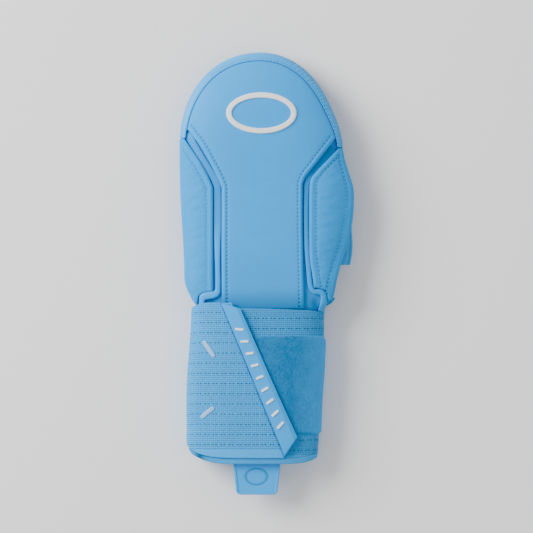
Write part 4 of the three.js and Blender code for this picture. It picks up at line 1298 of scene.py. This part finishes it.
# %% The strap's mesh
PATTERN = dict(start=30.2, shift=4.8, ribs=71)
coarse_turns = stops(STRAP["start"], 1200, LAST_TURN)
middle_row = walked(strap_point(coarse_turns[:, None], np.array([[0.5]]), 0.0))[:, 0]


def turns_every(start, end, step):
    """Turns between two others whose points lie about a step apart on the strap."""
    a, b = np.interp([-start, -end], -coarse_turns, middle_row)
    return np.interp(np.linspace(a, b, max(int((b - a) / step), 2), endpoint=False), middle_row, coarse_turns)


strap_turns = np.concatenate([turns_every(STRAP["start"], -170, 1.6), turns_every(-170, -225, 1.0),
                              turns_every(-225, LAST_TURN, 0.6), [LAST_TURN]])
strap_turns = strap_turns[(len(strap_turns) - 1) % 4:]
strap_turns[0] = STRAP["start"]
soft_edge = 0.04 * edge_stops(40, 4, 2.0)
strap_v = np.concatenate([0.04 - soft_edge[::-1], stops(0.04, 63, 0.96)[1:], 0.96 + soft_edge[1:]])
turn_grid, v_grid = np.meshgrid(strap_turns, strap_v, indexing="ij")
strap_base = strap_point(turn_grid, v_grid, 0.0)
strap_run = walked(strap_base)
strap_run = strap_run - strap_run[np.abs(strap_turns + 180).argmin()]
strap_tall = walked(np.swapaxes(strap_base, 0, 1)).T
from_strip = strap_base[..., 0] - strip_left_x(strap_base[..., 1])
beside_strip = np.exp(-(((from_strip + 0.4) / 0.5) ** 2)) * (turn_grid < -200)
edge_gap = np.minimum(v_grid, 1 - v_grid) * strap_tall[:, -1:]
rounded = 0.3 * (1 - np.sqrt(1 - (1 - np.clip(edge_gap / 1.0, 0, 1)) ** 2))
strap_top = strap_point(turn_grid, v_grid, STRAP_THICK - rounded - 0.4 * beside_strip)
# Painted shade: in the groove beside the end strip's left edge, and on the first turn's top towards the
# thumb, the lower layer that faces away from the light.
strap_shade = 0.75 * beside_strip + 0.25 * smoothstep(turn_grid, -60, 60) * (turn_grid < 130)
pattern = -strap_base[..., 1] - PATTERN["start"] + PATTERN["shift"] * smoothstep(-turn_grid, 100, 230)
pattern = np.clip(pattern, -RIB, PATTERN["ribs"] * RIB)
strap = solid_between("elastic_strap", strap_top, strap_base, (4, 4), sharp=50,
                      uv=np.stack([strap_run, pattern], -1), fold=strap_shade)
dress(strap, elastic.material, "elastic", "wrist_strap")
as_sheet(strap, strap_base)

# %% [markdown]
# ## The loop patch
#
# The strap's end grips a patch of brushed loops. Its pile is too fine for strands, so the face is a fine
# grid that seeded noise lifts and drops, and the bump and sheen of the finish do the rest.

# %% The pile
PATCH = dict(thick=1.5, top=-50, slope=3.6, bottom=-127.8, from_end=1.4, slant=56.25, last=-42.0)
ON_STRAP = GAP + LAYER
patch_turns = stops(90.0, 60, PATCH["slant"], 80, 0.0, 48, PATCH["last"])[:, None]
patch_v = np.linspace(0, 1, 173)[None, :]
seeded = np.random.default_rng(7)


def patch_face(lift):
    """The patch from under the strap's end round the thumb's side."""
    y = lerp(PATCH["top"] - PATCH["slope"] * smoothstep(-patch_turns, -21, 3), PATCH["bottom"], patch_v)
    start = turn_over(strap_end_x(y) + PATCH["from_end"], y)
    share = (patch_turns - PATCH["slant"]) / (90 - PATCH["slant"])
    at = np.where(patch_turns > PATCH["slant"], lerp(PATCH["slant"], start, share), patch_turns + 0 * y)
    return wrist_point(at, y, ON_STRAP + lift)


def soft_noise(shape, cell):
    """Seeded random heights on a coarse grid, stretched smoothly to a fine one."""
    rows, columns = int(shape[0] / cell) + 3, int(shape[1] / cell) + 3
    coarse = seeded.standard_normal((rows, columns))
    r, c = np.linspace(0, rows - 1.001, shape[0]), np.linspace(0, columns - 1.001, shape[1])
    by_row = np.stack([np.interp(c, np.arange(columns), row) for row in coarse])
    return np.stack([np.interp(r, np.arange(rows), column) for column in by_row.T], 1)


pile_shape = (len(patch_turns), patch_v.shape[1])
loops = sum(share * soft_noise(pile_shape, cell) for share, cell in ((0.5, 1), (0.35, 2.2), (0.22, 14)))
rim = np.minimum.reduce(np.broadcast_arrays(
    np.arange(pile_shape[0])[:, None], np.arange(pile_shape[0])[::-1][:, None],
    np.arange(pile_shape[1])[None, :], np.arange(pile_shape[1])[None, ::-1]))
soft_rim = 1 - np.exp(-rim / 1.5)
patch_foot = patch_face(0.0 * loops)
patch_top = patch_face(0.6 + (PATCH["thick"] - 0.75) * soft_rim + 0.11 * loops * soft_rim)
# Painted shade, deepest beside the strap's end strip and fading towards the thumb's side, where the light
# pile shows as a painted sheen; the loops vary the tone a little.
patch = solid_between("loop_pile_patch", patch_top, patch_foot, (4, 4), uv=surface_uv(patch_top),
                      fold=np.clip(0.05 + 0.72 * smoothstep(patch_turns, 12, 66) - 0.14 * loops, 0, 1))
dress(patch, pile.material, "loop", "loop_patch")
as_sheet(patch, patch_foot)

# %% [markdown]
# ## The end strip and its bars
#
# A moulded strip finishes the strap's slanted edge. It is thin, with a broad bevel on the thumb's side,
# and carries a row of short raised bars. Two pale bars sit on the strap itself.

# %% The moulded strip
STRIP_LIFT = ON_STRAP + LAYER


def strip_plan(u, v):
    """Plan point of the strip: u across from the left edge, v down from its top to its tip."""
    corners = [np.array(STRIP[key], float) for key in ("top_left", "top_right", "bottom_right", "tip")]
    u, v = u[..., None], v[..., None]
    return lerp(lerp(corners[0], corners[3], v), lerp(corners[1], corners[2], v), u)


def on_wrist(plan, lift):
    """Lifts plan points off the top of the wrist."""
    x, y = plan[..., 0], plan[..., 1]
    return wrist_point(turn_over(x, y), y, lift)


strip_u, strip_v = np.meshgrid(np.linspace(0, 1, 41), np.linspace(0, 1, 221), indexing="ij")
strip_at = strip_plan(strip_u, strip_v)
edge_soft = np.minimum.reduce([strip_u / 0.05, strip_v / 0.012, (1 - strip_v) / 0.012])
bevel = np.minimum(1, (1 - strip_u) / 0.2)
edge_round = np.sqrt(1 - (1 - np.clip(edge_soft, 0, 1)) ** 2)
strip_rise = lerp(STRIP["foot"], STRIP["thick"], bevel) * lerp(0.35, 1, edge_round)
# A painted shade along the strip's left edge, where it meets the strap.
end_strip = solid_between("moulded_end_strip", on_wrist(strip_at, STRIP_LIFT + strip_rise),
                          on_wrist(strip_at, STRIP_LIFT + 0 * strip_rise), sharp=28,
                          fold=0.5 * np.exp(-strip_u / 0.02))
dress(end_strip, moulding.material, "moulded", "strap_end_strip")

# %% Raised bars
BAR = dict(thick=0.7, half=1.6, strip_half=1.0, count=9)
PALE_BARS = dict(upper=((-49, -54), (-41, -66.5)), lower=((-51, -115), (-41.5, -106.5)))


def add_bar(name, node, start, end, half_width, surface, finish, slot):
    """A flat bar with rounded ends and softened edges that lies on a curved surface."""
    u, v = np.meshgrid(np.linspace(0, 1, 33), np.sin(np.linspace(-np.pi / 2, np.pi / 2, 9)), indexing="ij")
    start, end = np.array(start, float), np.array(end, float)
    run = (end - start) / np.linalg.norm(end - start)
    side = np.array([-run[1], run[0]])
    taper = lerp(0.55, 1, np.sqrt(np.maximum(1 - (2 * np.abs(u - 0.5)) ** 8, 0)))
    plan = lerp(start, end, u[..., None]) + side * (v * taper * half_width)[..., None]
    soft = np.sqrt(1 - v**6) * np.sqrt(np.maximum(1 - (2 * np.abs(u - 0.5)) ** 30, 0))
    rise = GAP * 0.5 + BAR["thick"] * lerp(0.45, 1, soft)
    piece = solid_between(name, surface(plan, rise), surface(plan, GAP * 0.5 + 0 * rise), sharp=60)
    return dress(piece, finish.material, slot, node)


def on_strip(plan, lift):
    """Lifts plan points off the end strip."""
    return on_wrist(plan, STRIP_LIFT + STRIP["thick"] + lift - 0.2)


def on_strap(plan, lift):
    """Lifts plan points off the strap's outer turn."""
    turn = turn_over(plan[..., 0], plan[..., 1])
    return on_wrist(plan, strap_lift(turn - 360) + STRAP_THICK + lift - 0.2)


for number in range(BAR["count"]):
    row = np.array(lerp(0.17, 0.84, number / (BAR["count"] - 1)))
    start, end = strip_plan(np.array(0.2), row), strip_plan(np.array(0.66), row)
    add_bar(f"raised_bar_{number + 1}", f"strip_bar_{number + 1}", start, end, BAR["strip_half"], on_strip,
            white_print, "white_print")
for which, (start, end) in PALE_BARS.items():
    add_bar(f"pale_bar_{which}", f"strap_bar_{which}", start, end, BAR["half"], on_strap, pale_print,
            "pale_print")

# %% [markdown]
# ## The oval ring and the pull tab
#
# A plain white oval is raised on the centre pad. The pull tab is a moulded tongue with a raised rim and a
# plain oval pressed into it, sewn inside the cuff's mouth.

# %% The oval ring
RING = dict(x=-4.2, y=127.4, half_width=28, half_height=16.5, band=4.4, thick=0.9)


def ring_face(lift):
    """The ring between two ovals, lifted off the centre pad."""
    turn = np.radians(np.linspace(360, 0, 160, endpoint=False))[:, None]
    v = np.linspace(0, 1, 9)[None, :]
    x = RING["x"] + (RING["half_width"] - RING["band"] * v) * np.cos(turn)
    y = RING["y"] + (RING["half_height"] - RING["band"] * v) * np.sin(turn)
    soft = np.sqrt(1 - (2 * v - 1) ** 8)
    base = crown(x, y) + PAD_GAP + centre_thick(y) - 0.3 + centre_swell(x, y)
    return np.stack([x, y, base + lift * lerp(0.4, 1, soft)], -1)


oval = solid_between("plain_oval_ring", ring_face(RING["thick"] + GAP), ring_face(0.1), tube=True, sharp=60)
dress(oval, white_print.material, "white_print", "oval_ring")

# %% The pull tab
TAB = dict(x=-8, root_y=-141, mouth_y=-151, end_y=-176.9, top=26.1, slope=4, thick=2.4, root_half=19.2,
           end_half=16.4, corner=3.4)
TAB_OVAL = dict(y=-162.5, half_width=8.5, half_height=6.5)


def tab_faces():
    """The tab's top and underside. Across goes from edge to edge, and each column ends on the rounded
    corner's arc. The rim stands up by half a millimetre."""
    across = np.sin(np.linspace(-np.pi / 2, np.pi / 2, 81))[:, None]
    along = (1 - (1 - np.linspace(0, 1, 91)) ** 1.6)[None, :]
    past = np.maximum(np.abs(across) * TAB["end_half"] - (TAB["end_half"] - TAB["corner"]), 0)
    end = TAB["end_y"] + TAB["corner"] - np.sqrt(np.maximum(TAB["corner"] ** 2 - past**2, 0))
    y = lerp(TAB["root_y"], end, along)
    taper = np.clip((TAB["mouth_y"] - y) / (TAB["mouth_y"] - TAB["end_y"]), 0, 1)
    half = lerp(TAB["root_half"], TAB["end_half"], taper)
    x = TAB["x"] + across * half
    rim = np.minimum((1 - np.abs(across)) * half, (y - end) + 0 * x)
    border = 0.45 * smoothstep(rim, 0, 0.5) * (1 - smoothstep(rim, 1.7, 2.4))
    from_oval = np.hypot((x - TAB["x"]) / TAB_OVAL["half_width"],
                         (y - TAB_OVAL["y"]) / TAB_OVAL["half_height"]) - 1
    pressed = -0.4 * np.exp(-((from_oval / 0.16) ** 2))
    fall = (y - TAB["mouth_y"]) * np.tan(np.radians(TAB["slope"]))
    rounding = 0.7 * (1 - np.sqrt(1 - (1 - np.clip(rim / 0.9, 0, 1)) ** 2))
    top = TAB["top"] + fall - 0.45 + border + pressed - rounding
    under = TAB["top"] + fall - TAB["thick"] + rounding
    # Painted shade in the pressed oval's groove and in the groove inside the raised rim.
    dark = 0.6 * np.exp(-((from_oval / 0.12) ** 2)) + 0.25 * np.exp(-(((rim - 2.3) / 0.35) ** 2))
    return np.stack([x, y, top], -1), np.stack([x, y, under], -1), dark


tab_top, tab_under, tab_dark = tab_faces()
tab = solid_between("pull_tab_tongue", tab_top, tab_under, sharp=60, fold=tab_dark)
dress(tab, moulding.material, "moulded", "pull_tab")

# %% [markdown]
# ## Floor, light and camera
#
# A plain white floor, one large soft light from the upper left, a weak fill, and a camera straight above
# with a long lens, as a product is photographed.

# %% The floor
floor_mesh = bpy.data.meshes.new("studio_floor")
floor_mesh.from_pydata([(-4, -4, 0), (4, -4, 0), (4, 4, 0), (-4, 4, 0)], [], [(0, 1, 2, 3)])
floor = bpy.data.objects.new("studio_floor", floor_mesh)
bpy.context.scene.collection.objects.link(floor)
floor_paint = bpy.data.materials.new("floor_paint")
floor_paint.use_nodes = True
paint = floor_paint.node_tree.nodes["Principled BSDF"].inputs
paint["Base Color"].default_value = (0.97, 0.97, 0.97, 1)
paint["Roughness"].default_value = 0.9
floor_mesh.materials.append(floor_paint)
print("the floor lies at 0, where the mitt rests")

# %% The lights
AIM = (0, 0, 0.02)


def add_light(name, place, aim, size, power):
    """A square soft light at a place, turned to its aim."""
    data = bpy.data.lights.new(name, "AREA")
    data.shape, data.size, data.energy = "SQUARE", size, power
    light = bpy.data.objects.new(name, data)
    light.location = place
    way = np.array(place) - np.array(aim)
    flat = np.hypot(way[0], way[1])
    light.rotation_euler = (np.arctan2(flat, way[2]), 0, np.arctan2(way[0], -way[1]))
    bpy.context.scene.collection.objects.link(light)


add_light("key_softbox", (-1.7, 0.9, 1.25), AIM, 1.4, 84)
add_light("fill_softbox", (0.9, -0.6, 2.2), AIM, 1.6, 6)
world = bpy.data.worlds.new("studio_air")
world.use_nodes = True
air = world.node_tree.nodes["Background"].inputs
air["Color"].default_value = (1, 1, 1, 1)
air["Strength"].default_value = 0.62
bpy.context.scene.world = world
print(len(bpy.data.lights), "lights and a pale world")

# %% The camera
PICTURE_WIDTH, CAMERA_HEIGHT = 0.4264, 2.6
PICTURE_X, PICTURE_Y = -0.0002, 0.0054
camera_data = bpy.data.cameras.new("camera_above")
camera_data.sensor_width = 36
camera_data.lens = camera_data.sensor_width * (CAMERA_HEIGHT - AIM[2]) / PICTURE_WIDTH
camera = bpy.data.objects.new("camera_above", camera_data)
camera.location = (PICTURE_X, PICTURE_Y, CAMERA_HEIGHT)
bpy.context.scene.collection.objects.link(camera)
bpy.context.scene.camera = camera
print(f"lens {camera_data.lens:.0f} mm, straight above")
